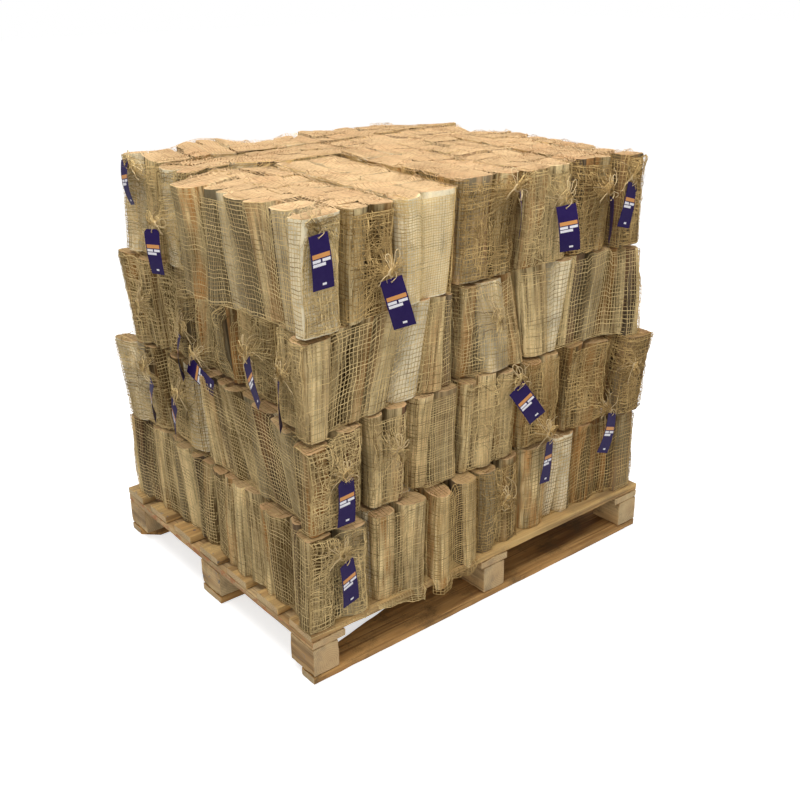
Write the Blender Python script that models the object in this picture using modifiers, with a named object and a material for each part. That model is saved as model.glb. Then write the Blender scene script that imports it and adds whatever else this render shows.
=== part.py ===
"""A four-way timber pallet stacked with net bags of split logs.

The pallet is 1.2 m by 1.0 m: deck boards over stringer boards, nine blocks and three skid boards.
On it stand four layers of net bags. In each bag about eight short split logs stand upright, side
by side in two rows, and the net is gathered and tied at one end, the mouth.

X runs along the pallet's 1.2 m side, Y along its 1.0 m side, and the origin is on the floor under
its centre. Places in the layer plans are measured from the pallet's front left corner.
"""
import math
import random
from dataclasses import dataclass

import bmesh
import bpy
from mathutils import Vector

# Pallet, in metres
PALLET_LENGTH = 1.2
PALLET_WIDTH = 1.0
BOARD_THICKNESS = 0.022
BLOCK_HEIGHT = 0.078
BLOCK_LENGTH = 0.078
DECK_BOARDS = 7
DECK_BOARD_WIDTH = 0.100
CROSS_BOARD_WIDTH = 0.100
SKID_WIDTHS = (0.130, 0.100, 0.100)
SKID_CORNER_CUT = (0.045, 0.045)
SKID_LONG_CUT = (0.350, 0.075)
BOARD_BEVEL = 0.002

# Logs and bags, in metres
LOG_LENGTH = 0.250
LOG_SHORTER = 0.014
LOG_PITCH = 0.118
ROW_PITCH = 0.080
SITE_JITTER = 0.17
GROOVE_DEPTH = 0.012
CORNER_DEPTH = 0.009
SAME_PLACE = 0.00001
GROOVE_SHARE = 0.4
JOINT_BITE = 0.003
BAG_CLEARANCE = 0.0035
MOUTH_SETBACK = 0.020
MOUTH_BASE_RADIUS = 0.050
MOUTH_WIDTH_SHARE = 0.32
MOUTH_TIP_RADIUS = 0.016
MOUTH_BITE = 0.020
MOUTH_HEIGHT_SHARE = 0.64
MOUTH_SIDES = 6

# What rests on something keeps this gap to it
TOUCH_GAP = 0.0003

STACK_NAME = "pallet_of_netted_logs"


@dataclass(frozen=True)
class BagPlan:
    """What sets one bag apart from its neighbours.

    joined_to_next says that the bag and the next one are one solid. lean is how far the log tops
    shift along the bag at its middle, swing is how far its far end shifts across, and tilt is how
    far its far end sinks.
    """

    log_length: float = LOG_LENGTH
    lean: float = 0.0
    swing: float = 0.0
    tilt: float = 0.0
    joined_to_next: bool = False


PLAIN = BagPlan()
JOINED = BagPlan(joined_to_next=True)


@dataclass(frozen=True)
class Block:
    """Bags side by side, all along one axis, with their mouths at one end."""

    along: str
    mouth_at_start: bool
    span: tuple
    borders: tuple
    bags: tuple


@dataclass(frozen=True)
class Layer:
    """One layer of bags: its outline (x0, x1, y0, y1) at the bottom and at the top."""

    bottom: tuple
    top: tuple
    blocks: tuple


LAYERS = (
    Layer(
        bottom=(0.025, 1.175, 0.006, 0.955),
        top=(0.025, 1.175, 0.006, 0.975),
        blocks=(
            Block("Y", True, (0.006, 0.500), (0.025, 0.190, 0.370, 0.545, 0.720),
                  (BagPlan(lean=0.015), PLAIN, JOINED, PLAIN)),
            Block("X", False, (0.720, 1.175), (0.006, 0.175, 0.340, 0.490, 0.645, 0.800, 0.955),
                  (BagPlan(lean=0.020), JOINED, JOINED, PLAIN, JOINED, PLAIN)),
            Block("Y", False, (0.500, 0.955), (0.025, 0.200, 0.370, 0.545, 0.720),
                  (BagPlan(lean=0.015), JOINED, JOINED, PLAIN)),
        ),
    ),
    Layer(
        bottom=(0.035, 1.165, 0.025, 0.965),
        top=(0.035, 1.190, 0.025, 0.985),
        blocks=(
            Block("Y", True, (0.025, 0.560), (0.035, 0.200, 0.340, 0.490, 0.700, 0.885, 1.055, 1.165),
                  (BagPlan(lean=0.070), PLAIN, PLAIN, PLAIN, PLAIN, PLAIN, PLAIN)),
            Block("X", True, (0.035, 0.610), (0.560, 0.765, 0.965), (PLAIN, PLAIN)),
            Block("X", False, (0.610, 1.165), (0.560, 0.765, 0.965), (JOINED, PLAIN)),
        ),
    ),
    Layer(
        bottom=(0.040, 1.170, 0.030, 0.900),
        top=(0.045, 1.155, 0.030, 0.940),
        blocks=(
            Block("X", True, (0.040, 0.500), (0.030, 0.200, 0.380, 0.595, 0.750, 0.900),
                  (BagPlan(0.238, 0.060), BagPlan(0.228), BagPlan(0.208), PLAIN, PLAIN)),
            Block("Y", True, (0.030, 0.470), (0.500, 0.735), (PLAIN,)),
            Block("Y", False, (0.470, 0.900), (0.500, 0.735), (PLAIN,)),
            Block("X", False, (0.735, 1.170), (0.030, 0.205, 0.380, 0.555, 0.730, 0.900),
                  (BagPlan(lean=0.040), JOINED, PLAIN, JOINED, PLAIN)),
        ),
    ),
    Layer(
        bottom=(0.050, 1.140, 0.030, 0.920),
        top=(0.058, 1.140, 0.030, 0.910),
        blocks=(
            Block("Y", True, (0.030, 0.565), (0.050, 0.170, 0.310, 0.495, 0.700, 0.895, 1.045, 1.140),
                  (BagPlan(0.252, 0.050, -0.045, 0.030), PLAIN, PLAIN, PLAIN, PLAIN, PLAIN, PLAIN)),
            Block("X", True, (0.050, 0.600), (0.565, 0.745, 0.920), (BagPlan(0.256), BagPlan(0.262))),
            Block("X", False, (0.600, 1.140), (0.565, 0.745, 0.920),
                  (BagPlan(0.256, joined_to_next=True), BagPlan(0.262))),
        ),
    ),
)


@dataclass
class BagShape:
    """One bag's solid, worked out in plan.

    cells holds a ring of corner keys for each log, counter-clockwise. bottom and top give each
    key's place at the bag's floor and one log length above it, and heights holds each log's length.
    """

    cells: list
    bottom: dict
    top: dict
    heights: list
    log_length: float

    def corner(self, key, height):
        """A log corner at a height above the bag's floor."""
        rise = height / self.log_length
        low, high = self.bottom[key], self.top[key]
        return (between(low[0], high[0], rise), between(low[1], high[1], rise), low[2] + height)

    def log_top(self, number):
        return [self.corner(key, self.heights[number]) for key in self.cells[number]]

    def log_tops(self):
        return [self.log_top(number) for number in range(len(self.cells))]


@dataclass
class Bag:
    """A placed bag: its shape, its mouth's centre and the way the mouth points."""

    layer: int
    shape: BagShape
    mouth: tuple
    outward: tuple
    width: float
    joined_to_next: bool


def between(low, high, share):
    return low + (high - low) * share


def clip_to_nearer(outline, site, other):
    """Keep the part of a convex outline that is nearer to site than to other."""
    middle = ((site[0] + other[0]) / 2, (site[1] + other[1]) / 2)
    across = (other[0] - site[0], other[1] - site[1])
    reach = [(p[0] - middle[0]) * across[0] + (p[1] - middle[1]) * across[1] for p in outline]
    kept = []
    for index, point in enumerate(outline):
        following = (index + 1) % len(outline)
        if reach[index] <= 0:
            kept.append(point)
        if reach[index] * reach[following] < 0:
            share = reach[index] / (reach[index] - reach[following])
            target = outline[following]
            kept.append((between(point[0], target[0], share), between(point[1], target[1], share)))
    return kept


def log_cells(length, width, rng):
    """Divide a bag's plan into one convex cell for each log, around jittered sites."""
    columns = round(length / LOG_PITCH)
    rows = max(1, round(width / ROW_PITCH))
    pitch = (length / columns, width / rows)
    sites = []
    for row in range(rows):
        for column in range(columns):
            along = (column + 0.5 + rng.uniform(-SITE_JITTER, SITE_JITTER)) * pitch[0]
            across = (row + 0.5 + rng.uniform(-SITE_JITTER, SITE_JITTER)) * pitch[1]
            sites.append((along, across))
    cells = []
    for site in sites:
        cell = [(0.0, 0.0), (length, 0.0), (length, width), (0.0, width)]
        for other in sites:
            if other is not site:
                cell = clip_to_nearer(cell, site, other)
        cells.append(cell)
    return cells


def merge_corners(cells):
    """Give every corner of the cells a key, the same key where corners meet."""
    places = []
    keyed = []
    for cell in cells:
        ring = []
        for point in cell:
            near = [key for key, place in enumerate(places) if math.dist(place, point) < SAME_PLACE]
            if not near:
                places.append(point)
            key = near[0] if near else len(places) - 1
            if key not in ring:
                ring.append(key)
        keyed.append(ring)
    return places, keyed


def ring_edges(ring):
    return [(key, ring[(index + 1) % len(ring)]) for index, key in enumerate(ring)]


def free_side(first, second, length, width, shared):
    """The way out across a cell edge, or None where the edge isn't on a free side of the bag."""
    ways = (
        ((-1, 0), all(p[0] < SAME_PLACE for p in (first, second))),
        ((1, 0), all(p[0] > length - SAME_PLACE for p in (first, second))),
        ((0, -1), not shared[0] and all(p[1] < SAME_PLACE for p in (first, second))),
        ((0, 1), not shared[1] and all(p[1] > width - SAME_PLACE for p in (first, second))),
    )
    for way, touches in ways:
        if touches:
            return way
    return None


def shape_logs(cells, length, width, shared, rng):
    """Give the logs their relief: a ridge on each free side, and a groove between neighbours.

    Args:
        cells: The convex cells, one for each log.
        length: The bag's length.
        width: The bag's width.
        shared: Whether each long side is joined to the next bag.
        rng: The bag's own random numbers.

    Returns:
        The corner places by key, and a ring of keys for each log.
    """
    places, rings = merge_corners(cells)
    moves = {key: set() for key in range(len(places))}
    shaped = []
    for ring in rings:
        result = []
        for first, second in ring_edges(ring):
            result.append(first)
            way = free_side(places[first], places[second], length, width, shared)
            if way is None:
                continue
            moves[first].add(way)
            moves[second].add(way)
            share = rng.uniform(0.3, 0.7)
            places.append(tuple(between(p, q, share) for p, q in zip(places[first], places[second])))
            result.append(len(places) - 1)
        shaped.append(result)
    edges = [edge for ring in rings for edge in ring_edges(ring)]
    reach = {key: GROOVE_DEPTH / GROOVE_SHARE for key in moves}
    for first, second in edges:
        if moves[first] & moves[second]:
            continue
        distance = math.dist(places[first], places[second])
        reach[first] = min(reach[first], distance)
        reach[second] = min(reach[second], distance)
    for key, ways in moves.items():
        depth = CORNER_DEPTH if len(ways) > 1 else GROOVE_SHARE * reach[key]
        x, y = places[key]
        x -= depth * sum(way[0] for way in ways)
        y -= depth * sum(way[1] for way in ways)
        if shared[0] and y < SAME_PLACE:
            y = -JOINT_BITE
        if shared[1] and y > width - SAME_PLACE:
            y = width + JOINT_BITE
        places[key] = (x, y)
    return places, shaped


def outline_to_top(layer, x, y):
    """Where a point of a layer's bottom outline comes to at the layer's top."""
    bottom, top = layer.bottom, layer.top
    return (
        between(top[0], top[1], (x - bottom[0]) / (bottom[1] - bottom[0])),
        between(top[2], top[3], (y - bottom[2]) / (bottom[3] - bottom[2])),
    )


def hulls_overlap(first, second):
    """Whether two convex outlines overlap in plan, by looking for a line that parts them."""
    for outline in (first, second):
        for index, point in enumerate(outline):
            following = outline[(index + 1) % len(outline)]
            normal = (following[1] - point[1], point[0] - following[0])
            a = [p[0] * normal[0] + p[1] * normal[1] for p in first]
            b = [p[0] * normal[0] + p[1] * normal[1] for p in second]
            if max(a) <= min(b) or max(b) <= min(a):
                return False
    return True


def place_bag(layer_index, block, number, below, rng):
    """Lay out one bag's logs on the logs below it.

    Args:
        layer_index: The layer, from 0 at the deck.
        block: The block of bags that holds it.
        number: The bag's place in the block.
        below: The log tops of the layer below, or an empty list on the deck.
        rng: The bag's own random numbers.

    Returns:
        The placed bag.
    """
    layer = LAYERS[layer_index]
    plan = block.bags[number]
    shared = (number > 0 and block.bags[number - 1].joined_to_next, plan.joined_to_next)
    start, end = block.span
    low, high = block.borders[number], block.borders[number + 1]
    start += MOUTH_SETBACK if block.mouth_at_start else BAG_CLEARANCE
    end -= BAG_CLEARANCE if block.mouth_at_start else MOUTH_SETBACK
    low += 0.0 if shared[0] else BAG_CLEARANCE
    high -= 0.0 if shared[1] else BAG_CLEARANCE
    length, width = end - start, high - low

    def in_plan(along, across):
        position = (start + along, low + across + plan.swing * along / length)
        return position if block.along == "X" else position[::-1]

    def at_top(along, across):
        share = along / length
        return outline_to_top(layer, *in_plan(along + 4 * plan.lean * share * (1 - share), across))

    def sinking(point):
        along = point[0 if block.along == "X" else 1] - start
        return plan.tilt * min(max(along / length, 0.0), 1.0)

    footprint = [in_plan(*corner) for corner in ((0, 0), (length, 0), (length, width), (0, width))]
    floor = 3 * BOARD_THICKNESS + BLOCK_HEIGHT
    for outline in below:
        if hulls_overlap(footprint, outline):
            floor = max(floor, max(point[2] + sinking(point) for point in outline))
    floor += TOUCH_GAP
    places, rings = shape_logs(log_cells(length, width, rng), length, width, shared, rng)
    heights = [plan.log_length - LOG_SHORTER * rank / len(rings) for rank in range(len(rings))]
    rng.shuffle(heights)
    bottom = {}
    top = {}
    for key, (along, across) in enumerate(places):
        bottom[key] = (*in_plan(along, across), floor - plan.tilt * along / length)
        top[key] = at_top(along, across)
    shape = BagShape(rings, bottom, top, heights, plan.log_length)
    x, y = in_plan(0.0 if block.mouth_at_start else length, width / 2)
    way = -1.0 if block.mouth_at_start else 1.0
    outward = (way, 0.0, 0.0) if block.along == "X" else (0.0, way, 0.0)
    mouth = (x, y, floor + MOUTH_HEIGHT_SHARE * plan.log_length)
    return Bag(layer_index, shape, mouth, outward, width, plan.joined_to_next)


def place_all_bags():
    """Place every bag, layer by layer from the deck up.

    Returns:
        The bags in order, each resting on the layer below.
    """
    bags = []
    below = []
    for layer_index, layer in enumerate(LAYERS):
        placed = []
        for block in layer.blocks:
            for number in range(len(block.bags)):
                rng = random.Random(100 * layer_index + len(placed))
                placed.append(place_bag(layer_index, block, number, below, rng))
        below = [outline for bag in placed for outline in bag.shape.log_tops()]
        bags.extend(placed)
    return bags


def make_material(name, colour, roughness):
    material = bpy.data.materials.new(name)
    material.use_nodes = True
    shader = material.node_tree.nodes["Principled BSDF"]
    shader.inputs["Base Color"].default_value = (*colour, 1.0)
    shader.inputs["Roughness"].default_value = roughness
    shader.inputs["Metallic"].default_value = 0.0
    return material


def new_object(name, bm, collection, material):
    mesh = bpy.data.meshes.new(name)
    bmesh.ops.recalc_face_normals(bm, faces=bm.faces)
    bm.to_mesh(mesh)
    bm.free()
    mesh.materials.append(material)
    part = bpy.data.objects.new(name, mesh)
    collection.objects.link(part)
    return part


def loft(name, bottom, top, collection, material):
    """Make a closed solid between two outlines with the same number of corners."""
    bm = bmesh.new()
    shift = Vector((PALLET_LENGTH / 2, PALLET_WIDTH / 2, 0.0))
    lower = [bm.verts.new(Vector(point) - shift) for point in bottom]
    upper = [bm.verts.new(Vector(point) - shift) for point in top]
    bm.faces.new(lower)
    bm.faces.new(upper)
    for index in range(len(lower)):
        following = (index + 1) % len(lower)
        bm.faces.new((lower[index], lower[following], upper[following], upper[index]))
    return new_object(name, bm, collection, material)


def make_mouth(name, bag, collection, material):
    """Make the gathered neck of the net as a short blunt cone on the end logs."""
    bm = bmesh.new()
    depth = MOUTH_SETBACK - BAG_CLEARANCE + MOUTH_BITE
    bmesh.ops.create_cone(
        bm,
        cap_ends=True,
        segments=MOUTH_SIDES,
        radius1=min(MOUTH_BASE_RADIUS, MOUTH_WIDTH_SHARE * bag.width),
        radius2=MOUTH_TIP_RADIUS,
        depth=depth,
    )
    outward = Vector(bag.outward)
    turn = outward.to_track_quat("Z", "Y").to_matrix().to_4x4()
    bmesh.ops.transform(bm, matrix=turn, verts=bm.verts)
    shift = Vector((PALLET_LENGTH / 2, PALLET_WIDTH / 2, 0.0))
    centre = Vector(bag.mouth) - shift + outward * (depth / 2 - MOUTH_BITE)
    bmesh.ops.translate(bm, vec=centre, verts=bm.verts)
    return new_object(name, bm, collection, material)


def bevel_edges(part, width):
    bevel = part.modifiers.new("eased_edges", "BEVEL")
    bevel.width = width
    bevel.segments = 1
    bevel.limit_method = "ANGLE"


def make_board(name, x_range, y_range, z_range, collection, material, corner_cuts=None):
    """Make a board or block, with some of its plan corners cut off.

    Args:
        name: The object's name.
        x_range: Its two ends along X.
        y_range: Its two sides along Y.
        z_range: Its underside and its top.
        collection: Where it goes.
        material: Its material.
        corner_cuts: For each corner to cut, an (end, side) pair of indices, how far along
            X and how far along Y the cut goes.

    Returns:
        The new object.
    """
    outline = []
    for end, side in ((0, 0), (1, 0), (1, 1), (0, 1)):
        x, y = x_range[end], y_range[side]
        cut = (corner_cuts or {}).get((end, side))
        if cut is None:
            outline.append((x, y))
            continue
        inward_x = x + cut[0] * (1 - 2 * end)
        inward_y = y + cut[1] * (1 - 2 * side)
        pair = [(x, inward_y), (inward_x, y)]
        if (end, side) in ((1, 0), (0, 1)):
            pair.reverse()
        outline.extend(pair)
    bottom = [(x, y, z_range[0]) for x, y in outline]
    top = [(x, y, z_range[1]) for x, y in outline]
    part = loft(name, bottom, top, collection, material)
    bevel_edges(part, BOARD_BEVEL)
    return part


def thirds(size, width):
    """The two sides of three equal pieces: at the start, in the middle and at the end."""
    return [(start, start + width) for start in (0.0, (size - width) / 2, size - width)]


def make_pallet(collection):
    """Make the skid boards, blocks, stringer boards and deck boards, from the floor up."""
    pale = make_material("pallet_board_wood", (0.56, 0.40, 0.22), 0.75)
    darker = make_material("pallet_block_wood", (0.50, 0.37, 0.20), 0.8)
    half_gap = TOUCH_GAP / 2
    skid_top = BOARD_THICKNESS
    block_top = skid_top + BLOCK_HEIGHT
    stringer_top = block_top + BOARD_THICKNESS
    deck_top = stringer_top + BOARD_THICKNESS
    ends = (0.0, PALLET_LENGTH)
    cuts = (
        {(0, 1): SKID_LONG_CUT, (1, 1): SKID_CORNER_CUT},
        {},
        {(0, 0): SKID_CORNER_CUT, (1, 0): SKID_CORNER_CUT},
    )
    for row, width in enumerate(SKID_WIDTHS):
        sides = thirds(PALLET_WIDTH, width)[row]
        z_range = (0.0, skid_top - half_gap)
        make_board(f"skid_board_{row + 1}", ends, sides, z_range, collection, pale, cuts[row])
    count = 0
    for sides in thirds(PALLET_WIDTH, CROSS_BOARD_WIDTH):
        for x_range in thirds(PALLET_LENGTH, BLOCK_LENGTH):
            count += 1
            z_range = (skid_top + half_gap, block_top - half_gap)
            make_board(f"block_{count}", x_range, sides, z_range, collection, darker)
    for column, x_range in enumerate(thirds(PALLET_LENGTH, CROSS_BOARD_WIDTH)):
        z_range = (block_top + half_gap, stringer_top - half_gap)
        make_board(f"stringer_board_{column + 1}", x_range, (0.0, PALLET_WIDTH), z_range, collection, pale)
    step = (PALLET_WIDTH - DECK_BOARD_WIDTH) / (DECK_BOARDS - 1)
    for board in range(DECK_BOARDS):
        sides = (board * step, board * step + DECK_BOARD_WIDTH)
        z_range = (stringer_top + half_gap, deck_top)
        make_board(f"deck_board_{board + 1}", ends, sides, z_range, collection, pale)


def make_bag(name, shape, collection, material):
    """Make one bag's logs as one closed solid, stepped where neighbouring logs differ in length."""
    bm = bmesh.new()
    shift = Vector((PALLET_LENGTH / 2, PALLET_WIDTH / 2, 0.0))
    levels = {key: {0.0} for key in shape.bottom}
    owner = {}
    for number, ring in enumerate(shape.cells):
        for first, second in ring_edges(ring):
            levels[first].add(shape.heights[number])
            owner[(first, second)] = number
    corners = {}

    def vertex(key, height):
        if (key, height) not in corners:
            corners[(key, height)] = bm.verts.new(Vector(shape.corner(key, height)) - shift)
        return corners[(key, height)]

    def riser(key, low, high):
        return [vertex(key, level) for level in sorted(levels[key]) if low <= level <= high]

    rim = {}
    for number, ring in enumerate(shape.cells):
        height = shape.heights[number]
        bm.faces.new([vertex(key, height) for key in ring])
        for first, second in ring_edges(ring):
            neighbour = owner.get((second, first))
            low = 0.0 if neighbour is None else shape.heights[neighbour]
            if neighbour is None:
                rim[second] = first
            if low < height:
                bm.faces.new(riser(second, low, height) + riser(first, low, height)[::-1])
    key = next(iter(rim))
    underside = []
    for _ in rim:
        underside.append(vertex(key, 0.0))
        key = rim[key]
    bm.faces.new(underside)
    return new_object(name, bm, collection, material)


def make_bag_solid(name, bags, collection, cutters, material):
    """Join the logs and mouths of one bag, or of bags that are one solid."""
    helpers = bpy.data.collections.new(name + "_pieces")
    cutters.children.link(helpers)
    solid = make_bag(name, bags[0].shape, collection, material)
    for number, bag in enumerate(bags):
        hide_cutter(make_mouth(f"{name}_mouth_{number + 1}", bag, helpers, material))
        if number > 0:
            hide_cutter(make_bag(f"{name}_bag_{number + 1}", bag.shape, helpers, material))
    union = solid.modifiers.new("one_bag", "BOOLEAN")
    union.operation = "UNION"
    union.operand_type = "COLLECTION"
    union.collection = helpers
    union.solver = "EXACT"
    return solid


def hide_cutter(piece):
    piece.hide_render = True
    piece.display_type = "WIRE"


def make_bags(collection, cutters):
    """Make every bag, with the joined ones as one solid each."""
    netted = make_material("netted_split_logs", (0.52, 0.38, 0.21), 0.85)
    counts = [0] * len(LAYERS)
    group = []
    for bag in place_all_bags():
        group.append(bag)
        if bag.joined_to_next:
            continue
        counts[bag.layer] += 1
        kind = "log_bags" if len(group) > 1 else "log_bag"
        name = f"{kind}_layer{bag.layer + 1}_{counts[bag.layer]}"
        make_bag_solid(name, group, collection, cutters, netted)
        group = []


def clear_scene():
    for leftover in list(bpy.data.objects):
        bpy.data.objects.remove(leftover)


def main():
    clear_scene()
    collection = bpy.data.collections.new(STACK_NAME)
    cutters = bpy.data.collections.new("cutters")
    bpy.context.scene.collection.children.link(collection)
    bpy.context.scene.collection.children.link(cutters)
    make_pallet(collection)
    make_bags(collection, cutters)


main()
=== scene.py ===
"""Looks of a timber pallet stacked with net bags of split logs.

The solids give each bag's logs as one stepped block. Here every log is a piece of split wood of its
own, and over the logs lie the jute nets, thread by thread, with their tied mouths, twine and tags.
Sizes are in metres. Places in the layer plans are measured from the pallet's front left corner, as
in the solids, and ORIGIN is that corner's distance to the shared frame's origin.
"""

import logging
import math
import random
from collections import Counter
from dataclasses import dataclass
from enum import Enum
from typing import Iterable, Optional, Sequence, Union

import bpy
import numpy as np
from mathutils import Matrix, Vector
from mathutils.bvhtree import BVHTree

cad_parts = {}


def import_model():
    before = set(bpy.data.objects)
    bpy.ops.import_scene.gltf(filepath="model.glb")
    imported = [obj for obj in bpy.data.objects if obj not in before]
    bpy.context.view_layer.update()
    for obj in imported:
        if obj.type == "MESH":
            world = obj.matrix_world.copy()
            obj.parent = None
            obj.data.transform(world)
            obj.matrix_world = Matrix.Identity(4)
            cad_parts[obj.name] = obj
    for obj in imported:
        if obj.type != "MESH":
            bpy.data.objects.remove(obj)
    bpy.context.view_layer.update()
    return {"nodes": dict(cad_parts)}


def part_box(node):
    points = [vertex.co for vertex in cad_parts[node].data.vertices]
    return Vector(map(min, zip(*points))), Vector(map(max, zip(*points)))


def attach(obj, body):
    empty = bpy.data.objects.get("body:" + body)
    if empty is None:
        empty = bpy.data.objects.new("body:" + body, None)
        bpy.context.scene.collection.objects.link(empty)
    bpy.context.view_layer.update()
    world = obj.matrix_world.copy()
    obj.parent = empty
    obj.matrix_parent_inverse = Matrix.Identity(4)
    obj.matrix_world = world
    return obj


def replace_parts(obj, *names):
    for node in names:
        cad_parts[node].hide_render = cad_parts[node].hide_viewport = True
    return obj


LOG = logging.getLogger("netted_logs")

UP = np.array((0.0, 0.0, 1.0))
# The four ways out of a bag in plan: along it and across it, each down and up
WAYS = ((-1, 0), (1, 0), (0, -1), (0, 1))

# The solids' own sizes
ORIGIN = np.array((0.6, 0.5, 0.0))
BOARD_THICKNESS = 0.022
BLOCK_HEIGHT = 0.078
# The corners cut off the skids: the inner side, then how far along and across at the start and the end
SKID_CUTS = {1: (1, ((0.350, 0.075), (0.045, 0.045))), 3: (-1, ((0.045, 0.045), (0.045, 0.045)))}
LOG_LENGTH = 0.250
LOG_SHORTER = 0.014
# The share of the logs' differences in length that the top layer keeps in the looks
TOP_UNEVENNESS = 0.35
LOG_PITCH = 0.118
ROW_PITCH = 0.080
SITE_JITTER = 0.17
GROOVE_DEPTH = 0.012
CORNER_DEPTH = 0.009
SAME_PLACE = 0.00001
GROOVE_SHARE = 0.4
JOINT_BITE = 0.003
BAG_CLEARANCE = 0.0035
MOUTH_SETBACK = 0.020
TOUCH_GAP = 0.0003

# Split logs
OUTER_SIDES = 30
OUTER_LEVELS = 7
TOP_LEVELS = 3
INNER_SIDES = 12
INNER_LEVELS = 2
OUTER_REACH = 0.085
SPLIT_LENGTH = 0.104
LOG_GAP = 0.0042
TOP_GAP = -0.0010
RIM_EASE = 0.0012
# How far the mouth ends stand out in the looks, by the way that they point
MOUTH_REACH = {("Y", True): 0.016, ("X", True): 0.009, ("X", False): 0.014, ("Y", False): 0.009}
# How far a log's ends, its middle and its turn stray, outside and inside the load
OUTER_STRAY, INNER_STRAY = 0.0030, 0.0008
OUTER_LEAN, INNER_LEAN = 0.008, 0.003
LOG_BEND = 0.0018
LOG_TURN = 0.05
LOG_STRAY = 0.004
SET_BACK = 0.013
PINCH = 0.20
CORNER_OUT = 0.008
FRONT_CORNER_OUT = 0.016
BARK_CHANCE = 0.22
# How near a cell's edge is to a face that the log stands at, and to one that the net is laid on
AT_FACE = 0.015
NEAR_FACE = 0.055
# The tone above which a bag counts as near-white
PALE_TONE = 0.9
# How much higher the top layer's bags along Y stand at the end away from the front
TOP_RISE = 0.012
# Where each layer's top swells or sinks, and the feet above it: x, y, how far round it, and how much
SWELLS = (
    (),
    ((0.03, 0.02, 0.34, -0.024), (0.05, 0.98, 0.20, -0.016), (1.20, 0.01, 0.18, -0.022)),
    ((0.03, 0.02, 0.34, -0.016),),
    ((0.28, 0.88, 0.15, 0.024), (1.13, 0.93, 0.22, -0.034), (1.13, 0.62, 0.14, -0.024),
     (0.10, 0.86, 0.12, 0.010), (0.20, 0.56, 0.16, 0.010), (0.62, 0.90, 0.12, 0.008),
     (0.80, 0.30, 0.12, 0.006), (0.50, 0.86, 0.14, -0.008)),
)

# Nets
NET_CELL = 0.0092
TOP_CELL = 0.0084
MOUTH_CELL = 0.006
HEM_CELL = 0.007
# How far down from the top a side between two bags is netted
UPPER_PART = 0.045
DRAPE_PASSES = 24
THREAD_HALF_WIDTH = 0.00088
OVER_UNDER = 0.0004
NET_LIFT = 0.0012
RAY_START = 0.06
GAP_DEPTH = 0.020
CORNER_DROP = 0.060
CORNER_WIDTH = 0.036
RIM_DROP = 0.018
LEDGE_WIDTH = 0.050
FLANK_DEPTH = 0.055
NECK_RADIUS = 0.0085
KNOT_LIFT = 0.015
GATHER_REACH = 0.050
NECK_SIDES = 26
WISPS = 160
WISP_STEPS = 13
# The radii of the twine: round the neck, in the yarn's loops, tails and strands, and the tag's loop
TURN_RADIUS = 0.0014
YARN_RADIUS = 0.0011
TAIL_RADIUS = 0.0010
STRAND_RADIUS = 0.0007
TAG_LOOP_RADIUS = 0.0009
# The rings of a gathered neck: how wide, how far out, and how much each sags
RUFFLE = ((2.3, -0.004, 0.0), (0.82, 0.001, 0.0), (0.74, 0.004, 0.001), (1.1, 0.007, 0.004),
          (1.5, 0.010, 0.010), (1.9, 0.010, 0.018))

# Tags
TAG_WIDTH = 0.053
TAG_LENGTH = 0.119
TAG_THICKNESS = 0.0005

# Camera, fitted to the photograph of 800 by 800 pixels
CAMERA_PLACE = (-1.671, -2.195, 1.584)
CAMERA_YAW = 51.43
CAMERA_PITCH = -22.78
CAMERA_ROLL = -1.0
CAMERA_LENS = 45.47

Colour = tuple[float, float, float]
Values = Union[float, np.ndarray]
Given = Union[bpy.types.NodeSocket, float, tuple]


@dataclass(frozen=True)
class BagPlan:
    """What sets one bag apart from its neighbours, as in the solids."""

    log_length: float = LOG_LENGTH
    lean: float = 0.0
    swing: float = 0.0
    tilt: float = 0.0
    joined_to_next: bool = False


PLAIN = BagPlan()
JOINED = BagPlan(joined_to_next=True)


@dataclass(frozen=True)
class Block:
    """Bags side by side, all along one axis, with their mouths at one end.

    sways says how far each border leans over at the top, in the looks alone, and flare how much of
    that its foot does.
    """

    along: str
    mouth_at_start: bool
    span: tuple[float, float]
    borders: tuple[float, ...]
    bags: tuple[BagPlan, ...]
    sways: tuple[float, ...] = ()
    flare: float = 0.0


@dataclass(frozen=True)
class Layer:
    """One layer of bags: its outline (x0, x1, y0, y1) at the bottom and at the top."""

    bottom: tuple[float, float, float, float]
    top: tuple[float, float, float, float]
    blocks: tuple[Block, ...]


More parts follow.
